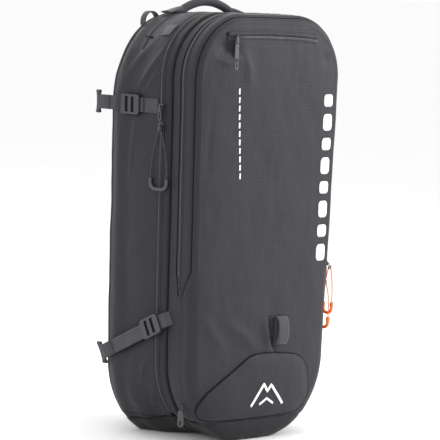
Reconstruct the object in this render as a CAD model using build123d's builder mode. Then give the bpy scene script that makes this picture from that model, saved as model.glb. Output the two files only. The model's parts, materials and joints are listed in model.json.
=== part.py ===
from build123d import *
import math
import os

os.makedirs("parts", exist_ok=True)

# Avalanche airbag backpack, millimetres.
# +Z is up, -Y is the outer (front) face, +Y is the wearer's side, +X is on the
# right of someone who looks at the front face. The origin lies on the plane of
# the back panel that touches the wearer, on the centre line, at the base.

# ---- driving dimensions -------------------------------------------------
BAG_H = 600.0  # height of the bag
TOP_W = 298.0  # width between the sides, at the top
BASE_W = 270.0  # width between the sides, at the base
TOP_R = 92.0  # corner radius of the front view, top
BASE_R = 118.0  # corner radius of the front view, base
WALL = 3.0  # padded fabric wall
SHEET = 2.0  # inner sheets

PAD_T = 14.0  # back panel foam
REAR_Y = -PAD_T  # rear wall of the bag, behind the foam
ZIP_Y = -124.0  # plane of the main zip, where the cover starts
FLAP_Y = -166.0  # plane where the tool pocket flap starts
FRONT_Y = -186.0  # outermost front face
REAR_EDGE_R = 22.0  # rounding of the bag's rear edges
FRONT_EDGE_R = 20.0  # rounding of the bag's front edges

BASE_Z = 30.0  # seam between the base panel and the walls, and the cover's fold line
FLAP_Z = 202.0  # fold line of the tool pocket flap
CORNER_Z = BAG_H - TOP_R  # where the top corners start
SEAM_GAP = 0.4  # gap between a flap and the cloth around it

WEB_W = 20.0  # compression webbing
WEB_T = 1.6
CABLE_X, CABLE_Z = -10.0, 486.0  # where the trigger cable goes through the back
CABLE_R = 1.6
SIDE_LEAN = math.degrees(math.atan((TOP_W - BASE_W) / 2 / BAG_H))


def half_width(z):
    """Half of the bag's width at height z, along its straight sides."""
    return (BASE_W + (TOP_W - BASE_W) * z / BAG_H) / 2


def save(builder, name):
    builder.part.label = name
    export_step(builder.part, f"parts/{name}.step")


def save_pair(builder, name):
    """Writes the piece on the -X side as left_NAME and its mirror image as right_NAME."""
    save(builder, f"left_{name}")
    with BuildPart() as twin:
        mirror(builder.part, about=Plane.YZ)
    save(twin, f"right_{name}")


def bag_outline(y, inset=0.0):
    """Front view of the bag on the plane at y, facing -Y, drawn `inset` inside its outer face."""
    with BuildSketch(Plane.XZ.offset(-y)) as outline:
        with BuildLine():
            Polyline(
                (-BASE_W / 2, 0),
                (BASE_W / 2, 0),
                (TOP_W / 2, BAG_H),
                (-TOP_W / 2, BAG_H),
                close=True,
            )
        make_face()
        fillet(outline.vertices().group_by(Axis.Y)[-1], TOP_R)
        fillet(outline.vertices().group_by(Axis.Y)[0], BASE_R)
        if inset:
            offset(amount=-inset)
    return outline.sketch


def outline_block(y_from, y_to, inset=0.0):
    """The bag's front view as a solid between two planes."""
    with BuildPart() as block:
        extrude(bag_outline(y_from, inset), amount=y_from - y_to)
    return block.part


def rounded_block(y_from, y_to, inset, radius, edge_y):
    """As outline_block, with the edge on the plane edge_y rounded."""
    with BuildPart() as block:
        extrude(bag_outline(y_from, inset), amount=y_from - y_to)
        fillet(block.faces().filter_by(Axis.Y).sort_by(lambda f: abs(f.center().Y - edge_y))[0].edges(), radius)
    return block.part


def slab(x_range, y_range, z_range):
    """A box between stated planes, used to cut pieces apart."""
    with BuildPart() as block:
        with Locations(((sum(x_range)) / 2, sum(y_range) / 2, sum(z_range) / 2)):
            Box(x_range[1] - x_range[0], y_range[1] - y_range[0], z_range[1] - z_range[0])
    return block.part


EVERY_X = (-400, 400)
EVERY_Y = (-400, 400)

# ---- bag walls ----------------------------------------------------------
rear_outer = rounded_block(REAR_Y, ZIP_Y, 0, REAR_EDGE_R, REAR_Y)
rear_inner = rounded_block(REAR_Y - WALL, ZIP_Y, WALL, REAR_EDGE_R - WALL, REAR_Y - WALL)
front_outer = rounded_block(ZIP_Y, FRONT_Y, 0, FRONT_EDGE_R, FRONT_Y)
front_inner = rounded_block(ZIP_Y, FRONT_Y + WALL, WALL, FRONT_EDGE_R - WALL, FRONT_Y + WALL)
rear_shell = rear_outer - rear_inner
front_shell = front_outer - front_inner

with BuildPart() as rear_panel:
    add(rear_shell)
    add(outline_block(0, ZIP_Y, REAR_EDGE_R), mode=Mode.INTERSECT)
    add(slab(EVERY_X, EVERY_Y, (BASE_Z, 900)), mode=Mode.INTERSECT)
    with BuildSketch(Plane.XZ):
        with Locations((CABLE_X, CABLE_Z)):
            Circle(CABLE_R + 0.4)
    extrude(amount=30, mode=Mode.SUBTRACT)
save(rear_panel, "rear_panel")

with BuildPart() as wall_ring:
    add(rear_shell)
    add(outline_block(0, ZIP_Y - 10, REAR_EDGE_R), mode=Mode.SUBTRACT)
    add(slab(EVERY_X, (ZIP_Y + SEAM_GAP, 0), (BASE_Z, 900)), mode=Mode.INTERSECT)

with BuildPart() as top_panel:
    add(wall_ring.part)
    add(slab(EVERY_X, EVERY_Y, (CORNER_Z, 900)), mode=Mode.INTERSECT)
save(top_panel, "top_panel")

with BuildPart() as side_panel:
    add(wall_ring.part)
    add(slab((-400, 0), EVERY_Y, (BASE_Z, CORNER_Z)), mode=Mode.INTERSECT)
save_pair(side_panel, "side_panel")

with BuildPart() as base_panel:
    add(rear_shell)
    add(front_shell)
    add(slab(EVERY_X, EVERY_Y, (-1, BASE_Z - SEAM_GAP)), mode=Mode.INTERSECT)
save(base_panel, "base_panel")

# ---- front cover, which folds down at BASE_Z ---------------------------
with BuildPart() as front_gusset:
    add(front_shell)
    add(slab(EVERY_X, (FLAP_Y, ZIP_Y), (BASE_Z, 900)), mode=Mode.INTERSECT)
save(front_gusset, "front_gusset")

with BuildPart() as cover_divider:
    add(outline_block(ZIP_Y, ZIP_Y - SHEET, WALL))
    add(slab(EVERY_X, EVERY_Y, (BASE_Z, 900)), mode=Mode.INTERSECT)
save(cover_divider, "cover_divider")

with BuildPart() as lower_front_panel:
    add(front_shell)
    add(slab(EVERY_X, (FRONT_Y - 1, FLAP_Y), (BASE_Z, FLAP_Z)), mode=Mode.INTERSECT)
save(lower_front_panel, "lower_front_panel")

# ---- tool pocket flap, which folds down at FLAP_Z ----------------------
with BuildPart() as tool_flap:
    add(front_shell)
    add(slab(EVERY_X, (FRONT_Y - 1, FLAP_Y - SEAM_GAP), (FLAP_Z + SEAM_GAP, 900)), mode=Mode.INTERSECT)
save(tool_flap, "tool_flap")

# goggle pouch behind the top of the flap
POUCH_Z = (470.0, 566.0)
with BuildPart() as goggle_pouch:
    with Locations((0, (FRONT_Y + WALL + FLAP_Y) / 2 + 1.5, sum(POUCH_Z) / 2)):
        Box(150, abs(FRONT_Y - FLAP_Y) - 2 * WALL, POUCH_Z[1] - POUCH_Z[0])
    fillet(goggle_pouch.edges(), 4)

# ---- lower front pocket for the ski sling ------------------------------
POCKET_T = 9.0
pocket_outer = rounded_block(ZIP_Y, FRONT_Y - POCKET_T, -POCKET_T, FRONT_EDGE_R + POCKET_T, FRONT_Y - POCKET_T)
pocket_inner = rounded_block(ZIP_Y, FRONT_Y - SEAM_GAP, -SEAM_GAP, FRONT_EDGE_R + SEAM_GAP, FRONT_Y - SEAM_GAP)
with BuildPart() as ski_pocket:
    with BuildSketch(Plane.XZ.offset(-FLAP_Y)) as dome:
        with BuildLine():
            bottom = Line((-98, 33), (84, 33))
            right_side = Spline(bottom @ 1, (101, 58), (96, 92), (72, 118))
            top_edge = Line(right_side @ 1, (-26, 123))
            Spline(top_edge @ 1, (-52, 107), (-92, 84), (-118, 62), bottom @ 0)
        make_face()
    extrude(amount=FLAP_Y - FRONT_Y + 30)
    add(pocket_outer, mode=Mode.INTERSECT)
    add(pocket_inner, mode=Mode.SUBTRACT)

# ice-axe loop: a folded webbing tab, sewn at its top, open at the sides
LOOP_X, LOOP_Z = 30.0, 154.0
with BuildPart() as ice_axe_loop:
    with BuildSketch(Plane.YZ.offset(LOOP_X - WEB_W / 2)) as tab:
        with Locations((FRONT_Y - 5.4, LOOP_Z)):
            SlotOverall(38, 10, rotation=90)
            SlotOverall(38 - 2 * WEB_T, 10 - 2 * WEB_T, rotation=90, mode=Mode.SUBTRACT)
    extrude(amount=WEB_W)
save(ice_axe_loop, "ice_axe_loop")

# ---- zips ---------------------------------------------------------------
TAPE_W = 8.0
TAPE_T = 1.2
MAIN_TAPE_Y = ZIP_Y + SEAM_GAP
TOOL_TAPE_Y = FLAP_Y + TAPE_W


def zip_band(y_from, z_low):
    """A band of zip tape around the outside of the bag, open below z_low."""
    with BuildPart() as band:
        add(outline_block(y_from, y_from - TAPE_W, -TAPE_T))
        add(outline_block(y_from, y_from - TAPE_W, -0.05), mode=Mode.SUBTRACT)
        add(slab(EVERY_X, EVERY_Y, (z_low, 900)), mode=Mode.INTERSECT)
    return band


main_zip = zip_band(MAIN_TAPE_Y + TAPE_W, BASE_Z + 4)
save(main_zip, "main_zip")
tool_zip = zip_band(TOOL_TAPE_Y, FLAP_Z + 20)
save(tool_zip, "tool_zip")

GOGGLE_ZIP_Z = 566.0
with BuildPart() as goggle_zip:
    with Locations((0, FRONT_Y - TAPE_T / 2 - 0.05, GOGGLE_ZIP_Z)):
        Box(168, TAPE_T, TAPE_W)
    fillet(goggle_zip.edges().filter_by(Axis.Y), 3)
with BuildPart() as goggle_pocket:
    add(goggle_pouch.part)
    add(goggle_zip.part)
save(goggle_pocket, "goggle_pocket")


def side_plane(y, z, lift):
    """A plane on the -X side of the bag: local x runs to the front, y up, z out of the bag."""
    lean = math.radians(SIDE_LEAN)
    out = Vector(-math.cos(lean), 0, -math.sin(lean))
    origin = Vector(-half_width(z), y, z) + out * lift
    return Plane(origin=origin, x_dir=(0, -1, 0), z_dir=out)


def turned(plane, degrees):
    """The plane, turned about its own normal."""
    angle = math.radians(degrees)
    along = plane.x_dir * math.cos(angle) + plane.y_dir * math.sin(angle)
    return Plane(origin=plane.origin, x_dir=along, z_dir=plane.z_dir)


def leaned(plane, degrees):
    """The plane, turned about its own x so that its lower end comes out of the bag."""
    angle = math.radians(degrees)
    out = plane.z_dir * math.cos(angle) + plane.y_dir * math.sin(angle)
    return Plane(origin=plane.origin, x_dir=plane.x_dir, z_dir=out)


def slider_on(plane):
    """A zip slider: a body with a raised bridge that the pull hangs from."""
    with BuildPart() as slider:
        with BuildSketch(plane):
            Trapezoid(9, 14, 78, rotation=180)
        extrude(amount=2.4)
        with BuildSketch(plane.offset(2.4)):
            Rectangle(3, 10)
        extrude(amount=3.4)
        with BuildSketch(Plane(origin=plane.origin + plane.z_dir * 3.9, x_dir=plane.y_dir, z_dir=plane.x_dir).offset(-3)):
            Rectangle(5, 1.9)
        extrude(amount=6, mode=Mode.SUBTRACT)
    return slider


SLIDER_LIFT = TAPE_T + 0.3
MAIN_SLIDER_Y = MAIN_TAPE_Y + TAPE_W / 2
MAIN_SLIDER_Z = (466.0, 440.0)
TOOL_SLIDER_Y = TOOL_TAPE_Y - TAPE_W / 2
TOOL_SLIDER_Z = (258.0, 240.0)

main_slider_upper = slider_on(side_plane(MAIN_SLIDER_Y, MAIN_SLIDER_Z[0], SLIDER_LIFT))
save(main_slider_upper, "main_slider_upper")
main_slider_lower = slider_on(side_plane(MAIN_SLIDER_Y, MAIN_SLIDER_Z[1], SLIDER_LIFT))
save(main_slider_lower, "main_slider_lower")

for slider_name, slider_z in zip(("tool_slider_upper", "tool_slider_lower"), TOOL_SLIDER_Z):
    left_copy = slider_on(side_plane(TOOL_SLIDER_Y, slider_z, SLIDER_LIFT))
    with BuildPart() as tool_slider:
        mirror(left_copy.part, about=Plane.YZ)
    save(tool_slider, slider_name)

GOGGLE_SLIDER_X = -78.0
goggle_plane = Plane(origin=(GOGGLE_SLIDER_X, FRONT_Y - SLIDER_LIFT, GOGGLE_ZIP_Z), x_dir=(1, 0, 0), z_dir=(0, -1, 0))
goggle_slider = slider_on(goggle_plane)
save(goggle_slider, "goggle_slider")


def corner_plane(y, z, lift):
    """A plane on the rounded lower left corner: local x runs to the front, z out of the bag."""
    centre_x = BASE_R / math.cos(math.radians(SIDE_LEAN)) - half_width(BASE_R)
    drop = BASE_R - z
    out = Vector(-math.sqrt(BASE_R**2 - drop**2), 0, -drop).normalized()
    origin = Vector(centre_x, y, BASE_R) + out * (BASE_R + lift)
    return Plane(origin=origin, x_dir=(0, -1, 0), z_dir=out)


# the lower pocket's slider, on the front left edge
BASE_SLIDER_Y, BASE_SLIDER_Z = -158.0, 56.0
base_slider_plane = corner_plane(BASE_SLIDER_Y, BASE_SLIDER_Z, SLIDER_LIFT)
base_slider = slider_on(base_slider_plane)
with BuildPart() as pocket_and_slider:
    add(ski_pocket.part)
    add(base_slider.part)
save(pocket_and_slider, "ski_pocket")

# ---- pulls --------------------------------------------------------------
PIN_LIFT = 3.9  # centre of the slider's hole above the slider's foot
PIN_R = 0.8


def pull_tab(mid, length, width, thickness=2.2):
    """A moulded pull that hangs in the plane `mid`, which holds the pin: fork, pin and a flat tab."""
    with BuildPart() as tab:
        with BuildSketch(mid.offset(-thickness / 2)):
            with Locations((0, -(6.2 + length) / 2)):
                RectangleRounded(width, length - 6.2, width * 0.45)
            with Locations((-2.5, -4.4), (2.5, -4.4)):
                Rectangle(1.3, 10.6)
            with Locations((0, 6 - length)):
                SlotOverall(7, width * 0.4, rotation=90, mode=Mode.SUBTRACT)
        extrude(amount=thickness)
        with BuildSketch(Plane(origin=mid.origin, x_dir=mid.y_dir, z_dir=mid.x_dir).offset(-3)):
            Circle(PIN_R)
        extrude(amount=6)
    return tab


def stirrup(plane, drop, width, wire_r=2.6):
    """A U-shaped grip that hangs `drop` below the plane's origin, open at its top."""
    mid = plane.offset(PIN_LIFT)
    leg_top = 9.0 - drop
    with BuildPart() as grip:
        with BuildLine(mid) as path:
            FilletPolyline(
                (-width / 2, leg_top),
                (-width / 2, -drop - 6),
                (width / 2, -drop - 6),
                (width / 2, leg_top),
                radius=width * 0.3,
            )
        with BuildSketch(Plane(origin=path.line @ 0, z_dir=path.line % 0)):
            Circle(wire_r)
        sweep()
    return grip


def corner_radii(points):
    """The arc at each corner of a cord's route: 0.45 of the shorter run over the tangent of half the turn."""
    vectors = [Vector(*p) for p in points]
    radii = []
    for before, corner, after in zip(vectors, vectors[1:], vectors[2:]):
        run_in = corner - before
        run_out = after - corner
        turn = math.radians(run_in.get_angle(run_out))
        radii.append(0.45 * min(run_in.length, run_out.length) / math.tan(turn / 2))
    return radii


def cord(points, radius, name):
    """A cord's tube: straight runs joined by tangent arcs."""
    radii = corner_radii(points)
    with BuildPart() as tube:
        with BuildLine() as route:
            FilletPolyline(*points, radius=radii)
        with BuildSketch(Plane(origin=route.line @ 0, z_dir=route.line % 0)):
            Circle(radius)
        sweep()
    length = route.wire().length
    ratio = tube.part.volume / (math.pi * radius**2 * length)
    print(name, "length", round(length, 1), "volume ratio", round(ratio, 4), "radii", [round(r, 1) for r in radii])
    return tube


def loop_points(plane, half_loop):
    """A closed-looking cord loop in a slider's plane, from one grip leg up through the hole and down again."""
    mid = plane.offset(PIN_LIFT)
    flat = list(half_loop) + [(-x, y) for x, y in reversed(half_loop)]
    return [tuple(mid.from_local_coords(Vector(x, y, 0))) for x, y in flat]


CORD_R = 0.8
MAIN_GRIP_W = 32.0
MAIN_DROP = 80.0
MAIN_LOOP = ((-16, -71.0), (-15.2, -52), (-12, -34), (-7.6, -19), (-4.4, -9.5), (-2.9, -4), (-2.5, 0.2))

short_tab = pull_tab(side_plane(MAIN_SLIDER_Y, MAIN_SLIDER_Z[0], SLIDER_LIFT + PIN_LIFT), 17, 6)
save(short_tab, "main_pull_tab")
grip_plane = side_plane(MAIN_SLIDER_Y, MAIN_SLIDER_Z[1], SLIDER_LIFT)
main_grip = stirrup(grip_plane, MAIN_DROP, MAIN_GRIP_W)
save(main_grip, "main_pull_grip")
main_cord = cord(loop_points(grip_plane, MAIN_LOOP), CORD_R, "main_pull_cord")
save(main_cord, "main_pull_cord")

BASE_TAB_LEAN = math.degrees(math.asin((BASE_R - BASE_SLIDER_Z) / BASE_R))
base_tab = pull_tab(leaned(base_slider_plane.offset(PIN_LIFT), BASE_TAB_LEAN), 30, 10)
save(base_tab, "base_pull_tab")
goggle_tab = pull_tab(goggle_plane.offset(PIN_LIFT), 42, 7)
save(goggle_tab, "goggle_pull_tab")

# Tool pocket pulls: a black link on each slider, then an orange cord with a U-shaped grip.
# The upper link leans out over the lower slider.
LINK_L = 24.0
LINK_END = LINK_L + 1.4
TOOL_PULLS = {
    "upper": {"z": TOOL_SLIDER_Z[0], "lean": 22, "drop": 60.0, "width": 16.0},
    "lower": {"z": TOOL_SLIDER_Z[1], "lean": 0, "drop": 60.0, "width": 20.0},
}
for which, pull in TOOL_PULLS.items():
    side = side_plane(TOOL_SLIDER_Y, pull["z"], SLIDER_LIFT + PIN_LIFT)
    mid = leaned(side, pull["lean"])
    across = Plane(origin=mid.origin, x_dir=mid.y_dir, z_dir=mid.x_dir)
    with BuildPart() as link:
        with BuildSketch(mid.offset(-1.2)):
            with Locations((0, -LINK_L / 2)):
                Rectangle(5, LINK_L - 12)
            with Locations((-2.5, -4.0), (2.5, -4.0)):
                Rectangle(1.3, 8)
        extrude(amount=2.4)
        with BuildSketch(across.offset(-3)):
            Circle(PIN_R)
        extrude(amount=6)
        with BuildSketch(across.offset(-1.5)):
            with Locations((1 - LINK_L, 0)):
                SlotOverall(11, 4.4)
        extrude(amount=3)
        with BuildSketch(across.offset(-1.5)):
            with Locations((1 - LINK_L, 0)):
                SlotOverall(6.6, 2.0)
        extrude(amount=3, mode=Mode.SUBTRACT)
    eye_origin = mid.origin - mid.y_dir * LINK_END - side.z_dir * PIN_LIFT
    eye = Plane(origin=eye_origin, x_dir=side.x_dir, z_dir=side.z_dir)
    half_w = pull["width"] / 2
    grip = stirrup(eye, pull["drop"], pull["width"], 2.4)
    loop = (
        (-half_w, 9.0 - pull["drop"]),
        (-half_w * 0.97, -37),
        (-half_w * 0.84, -24),
        (-half_w * 0.66, -14),
        (-3.8, -7.4),
        (-2.8, -3.4),
        (-2.4, 0.2),
    )
    orange = cord(loop_points(eye, loop), CORD_R, f"tool_pull_cord_{which}")
    with BuildPart() as pull_pieces:
        mirror(link.part, about=Plane.YZ)
        mirror(grip.part, about=Plane.YZ)
    save(pull_pieces, f"tool_pull_{which}")
    with BuildPart() as pull_cord:
        mirror(orange.part, about=Plane.YZ)
    save(pull_cord, f"tool_pull_cord_{which}")

# ---- compression straps -------------------------------------------------
LADDER_L, LADDER_W, LADDER_T = 36.0, 28.0, 4.0
HOOK_L = 34.0
# fold y, fold z, slope in degrees, reach to the hook, lift of the webbing above the bag
STRAPS = {"upper": (-84.0, 469.0, 0.0, 92.0, 2.2), "lower": (-137.0, 172.0, 26.0, 136.0, 6.7)}


def strap_plane(which, lift):
    """Local x runs along the strap to the rear, z out of the bag; the origin is the strap's fold."""
    y, z, slope, _, _ = STRAPS[which]
    return turned(side_plane(y, z, lift), 180 + slope)


# The upper strap is sewn to the side panel, the lower one into the cover's seam.
with BuildPart() as upper_anchor:
    with BuildSketch(strap_plane("upper", 0.3)):
        with Locations((-3, 0)):
            Rectangle(28, WEB_W)
    extrude(amount=WEB_T)
LEG_FOOT = 1.2  # the lower strap's fold comes down to this height above the cover

for which, (_, _, _, reach, web_lift) in STRAPS.items():
    with BuildPart() as webbing:
        with BuildSketch(strap_plane(which, web_lift)):
            with Locations(((reach - 4) / 2, 0)):
                Rectangle(reach - 4, WEB_W)
        extrude(amount=WEB_T)
        if which == "lower":
            with BuildSketch(strap_plane(which, LEG_FOOT)):
                with Locations((1.5, 0)):
                    Rectangle(3, WEB_W)
            extrude(amount=web_lift - LEG_FOOT + WEB_T)

    with BuildPart() as hook:
        with BuildSketch(strap_plane(which, web_lift - 2.2)):
            with Locations((reach, 0)):
                SlotOverall(HOOK_L, 7.5, rotation=90)
        extrude(amount=6)
        with BuildSketch(strap_plane(which, web_lift)):
            with Locations((reach - 3, 0)):
                Rectangle(2.2, WEB_W + 1)
        extrude(amount=WEB_T, mode=Mode.SUBTRACT)
    with BuildPart() as strap:
        add(webbing.part)
        add(hook.part)
    save_pair(strap, f"{which}_strap")

    with BuildPart() as ladder:
        with BuildSketch(strap_plane(which, web_lift + WEB_T + 0.3)):
            with Locations((6 + LADDER_L / 2, 0)):
                RectangleRounded(LADDER_L, LADDER_W, 4)
                with GridLocations(12, 0, 2, 1):
                    Rectangle(6, WEB_W + 1.5, mode=Mode.SUBTRACT)
        extrude(amount=LADDER_T)
        fillet(ladder.faces().sort_by(Axis.X)[0].outer_wire().edges(), 1.2)
    save_pair(ladder, f"{which}_ladder_lock")

# ---- carry handle and small loops ---------------------------------------
HANDLE_Y = -50.0
HANDLE_R = 6.5
HANDLE_X = 66.0
HANDLE_SWING = 26.0  # the handle folds this far each way without meeting the bag
handle_axis = Axis((0, HANDLE_Y, 599), (1, 0, 0))
handle_clearance = rounded_block(REAR_Y, ZIP_Y, -0.3, REAR_EDGE_R, REAR_Y)
with BuildPart() as carry_handle:
    with BuildLine(Plane.XZ.offset(-HANDLE_Y)) as path:
        ThreePointArc((-HANDLE_X, 588), (0, 615), (HANDLE_X, 588))
    with BuildSketch(Plane(origin=path.line @ 0, z_dir=path.line % 0)):
        Circle(HANDLE_R)
    sweep()
    add(handle_clearance, mode=Mode.SUBTRACT)
    for swing in (-HANDLE_SWING, HANDLE_SWING):
        add(handle_clearance.rotate(handle_axis, swing), mode=Mode.SUBTRACT)
save(carry_handle, "carry_handle")

HAUL_Y, HAUL_W = -22.0, 11.0
HAUL_CENTRE = (-87.0, 592.0)
with BuildPart() as haul_loop:
    with BuildSketch(Plane.XZ.offset(-HAUL_Y)):
        with Locations(HAUL_CENTRE):
            Circle(14)
            Circle(14 - WEB_T, mode=Mode.SUBTRACT)
    extrude(amount=HAUL_W)
    add(rear_outer, mode=Mode.SUBTRACT)
    add(rear_inner, mode=Mode.SUBTRACT)
haul_solid = haul_loop.part.solids().sort_by(Axis.Z)[-1]
with BuildPart() as sewn_webbing:
    for piece in (upper_anchor.part, haul_solid):
        add(piece)
        mirror(piece, about=Plane.YZ)
save(sewn_webbing, "sewn_webbing")

# ---- break-open seam of the airbag, over the top ------------------------
AIRBAG_SEAM_Y = -60.0
seam_band = zip_band(AIRBAG_SEAM_Y, 548)
with BuildPart() as seam_tab:
    add(outline_block(-72, -98, -1.0))
    add(outline_block(-72, -98, -0.05), mode=Mode.SUBTRACT)
    add(slab((-130, -98), EVERY_Y, (556, 584)), mode=Mode.INTERSECT)
with BuildPart() as airbag_seam:
    add(seam_band.part)
    add(seam_tab.part)
    mirror(seam_tab.part, about=Plane.YZ)
save(airbag_seam, "airbag_seam")

# ---- back panel and harness ---------------------------------------------
with BuildPart() as back_panel:
    extrude(bag_outline(0, 26), amount=PAD_T)
    fillet(back_panel.faces().sort_by(Axis.Y)[-1].edges(), 8)
    with BuildSketch(Plane.XZ):
        with Locations((CABLE_X, CABLE_Z)):
            Circle(CABLE_R + 0.4)
    extrude(amount=PAD_T, mode=Mode.SUBTRACT)

with BuildPart() as lumbar_pad:
    with Locations((0, 4.2, 110)):
        Box(140, 8, 90)
    fillet(lumbar_pad.edges().filter_by(Axis.Y), 18)
    fillet(lumbar_pad.faces().sort_by(Axis.Y)[-1].edges(), 3)

with BuildPart() as harness_yoke:
    with Locations((0, 2.2, 506)):
        Box(150, 4, 32)
    fillet(harness_yoke.edges().filter_by(Axis.Y), 8)
with BuildPart() as back_padding:
    add(back_panel.part)
    add(lumbar_pad.part)
    add(harness_yoke.part)
save(back_padding, "back_padding")

STRAP_X = (-72.0, -18.0)  # inner and outer side of the left shoulder strap
STRAP_OUT = 46.0  # how far the strap arches out, to its outer face
PAD_STRAP_T = 12.0
with BuildPart() as shoulder_strap:
    with BuildSketch(Plane.YZ.offset(STRAP_X[0])) as profile:
        with BuildLine():
            Polyline(
                (1.0, 488),
                (STRAP_OUT, 446),
                (STRAP_OUT, 294),
                (28, 256),
                (17.5, 261),
                (STRAP_OUT - PAD_STRAP_T, 298),
                (STRAP_OUT - PAD_STRAP_T, 440),
                (1.0, 473),
                close=True,
            )
        make_face()
        fillet(profile.vertices().filter_by(lambda v: v.X > 31), 14)
    extrude(amount=STRAP_X[1] - STRAP_X[0])

LOWER_WEB_X = -45.0
with BuildPart() as lower_webbing:
    with BuildSketch(Plane.YZ.offset(LOWER_WEB_X - WEB_W / 2)):
        with BuildLine():
            Polyline((21.5, 256.5), (23.1, 256.3), (11.6, 172), (10, 172.2), close=True)
        make_face()
    extrude(amount=WEB_W)
with BuildPart() as strap_and_webbing:
    add(shoulder_strap.part)
    add(lower_webbing.part)
save_pair(strap_and_webbing, "shoulder_strap")

WING_Z = (72.0, 148.0)
with BuildPart() as hip_wing:
    with BuildSketch(Plane.XY.offset(WING_Z[0])):
        with BuildLine():
            outer = Spline((-92, 1.5), (-84, 30), (-58, 44), (-30, 45))
            Line(outer @ 1, (-30, 36))
            inner = Spline((-30, 36), (-55, 34), (-74, 24), (-82, 1.5))
            Line(inner @ 1, outer @ 0)
        make_face()
    extrude(amount=WING_Z[1] - WING_Z[0])

HIP_Z = sum(WING_Z) / 2
with BuildPart() as hip_socket:
    with Locations((-17, 40.5, HIP_Z)):
        Box(25, 8, 40)
    fillet(hip_socket.edges(), 2)
    with Locations((-10, 40.5, HIP_Z)):
        Box(14, 4, 30, mode=Mode.SUBTRACT)
with BuildPart() as hip_plug:
    with Locations((20, 40.5, HIP_Z)):
        Box(19, 8, 36)
    fillet(hip_plug.edges(), 2)
    with Locations((7, 40.5, HIP_Z - 11), (7, 40.5, HIP_Z + 11), (7, 40.5, HIP_Z)):
        Box(9, 3, 5)
with BuildPart() as left_hip_belt:
    add(hip_wing.part)
    add(hip_socket.part)
save(left_hip_belt, "left_hip_belt")
with BuildPart() as right_hip_belt:
    mirror(hip_wing.part, about=Plane.YZ)
    add(hip_plug.part)
save(right_hip_belt, "right_hip_belt")

STERNUM_Z = 402.0
sternum_y = STRAP_OUT + 3.4


def sternum_half(side):
    """The clip on the shoulder strap and the webbing that reaches to the buckle."""
    with BuildPart() as half:
        with Locations((side * 29, sternum_y, STERNUM_Z)):
            Box(16, 6, 24)
        fillet(half.edges(), 1.5)
        with Locations((side * 18, sternum_y, STERNUM_Z)):
            Box(10, 1.8, 16)
    return half


with BuildPart() as sternum_socket:
    with Locations((-9, sternum_y, STERNUM_Z)):
        Box(8, 8, 26)
    fillet(sternum_socket.edges(), 1.5)
    with Locations((-6.5, sternum_y, STERNUM_Z)):
        Box(5, 3.6, 18, mode=Mode.SUBTRACT)
with BuildPart() as sternum_plug:
    with Locations((9, sternum_y, STERNUM_Z)):
        Box(8, 7, 24)
    fillet(sternum_plug.edges(), 1.5)
    with Locations((3, sternum_y, STERNUM_Z - 6), (3, sternum_y, STERNUM_Z + 6)):
        Box(5, 2.6, 4)
with BuildPart() as left_sternum:
    add(sternum_half(-1).part)
    add(sternum_socket.part)
save(left_sternum, "left_sternum_strap")
with BuildPart() as right_sternum:
    add(sternum_half(1).part)
    add(sternum_plug.part)
save(right_sternum, "right_sternum_strap")

# trigger on the left shoulder strap: a sleeve that holds the stem, and a grip below it
TRIGGER_X = -52.0
trigger_y = STRAP_OUT + 6.4
with BuildPart() as trigger_sleeve:
    with Locations((TRIGGER_X, trigger_y, 346)):
        Box(28, 12, 52)
    fillet(trigger_sleeve.edges().filter_by(Axis.Z), 4)
    with Locations((TRIGGER_X, trigger_y, 343)):
        Box(18.4, 7.4, 46, mode=Mode.SUBTRACT)
    with BuildSketch(Plane.XY.offset(366)):
        with Locations((TRIGGER_X, trigger_y)):
            Circle(CABLE_R + 0.3)
    extrude(amount=6, mode=Mode.SUBTRACT)
save(trigger_sleeve, "trigger_sleeve")
with BuildPart() as trigger_handle:
    with Locations((TRIGGER_X, trigger_y, 308)):
        Box(36, 12, 17)
    fillet(trigger_handle.edges(), 4)
    with Locations((TRIGGER_X, trigger_y, 338)):
        Box(18, 7, 48)
save(trigger_handle, "trigger_handle")

STRAP_CABLE = (
    (TRIGGER_X, trigger_y, 372.4),
    (TRIGGER_X + 0.6, trigger_y, 398),
    (TRIGGER_X + 3, trigger_y, 424),
    (TRIGGER_X + 10, trigger_y - 1, 450),
    (TRIGGER_X + 22, trigger_y - 8, 471),
    (TRIGGER_X + 35, trigger_y - 20, 484),
    (CABLE_X, trigger_y - 35, CABLE_Z + 0.5),
    (CABLE_X, 7.2, CABLE_Z),
)
strap_cable = cord(STRAP_CABLE, CABLE_R, "trigger_cable_strap")
save(strap_cable, "trigger_cable_strap")

# ---- frame inside -------------------------------------------------------
INNER_Y = REAR_Y - WALL
with BuildPart() as frame_sheet:
    with BuildSketch(Plane.XZ.offset(-INNER_Y + 0.3)):
        with Locations((0, 300)):
            RectangleRounded(200, 470, 30)
        with Locations((CABLE_X, CABLE_Z)):
            Circle(CABLE_R + 0.4, mode=Mode.SUBTRACT)
    extrude(amount=2)
with BuildPart() as stays:
    with BuildSketch(Plane.XZ.offset(-INNER_Y + 2.3)):
        with Locations((-70, 300), (70, 300)):
            RectangleRounded(14, 430, 3)
    extrude(amount=3)
with BuildPart() as back_frame:
    add(frame_sheet.part)
    add(stays.part)
save(back_frame, "back_frame")

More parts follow.
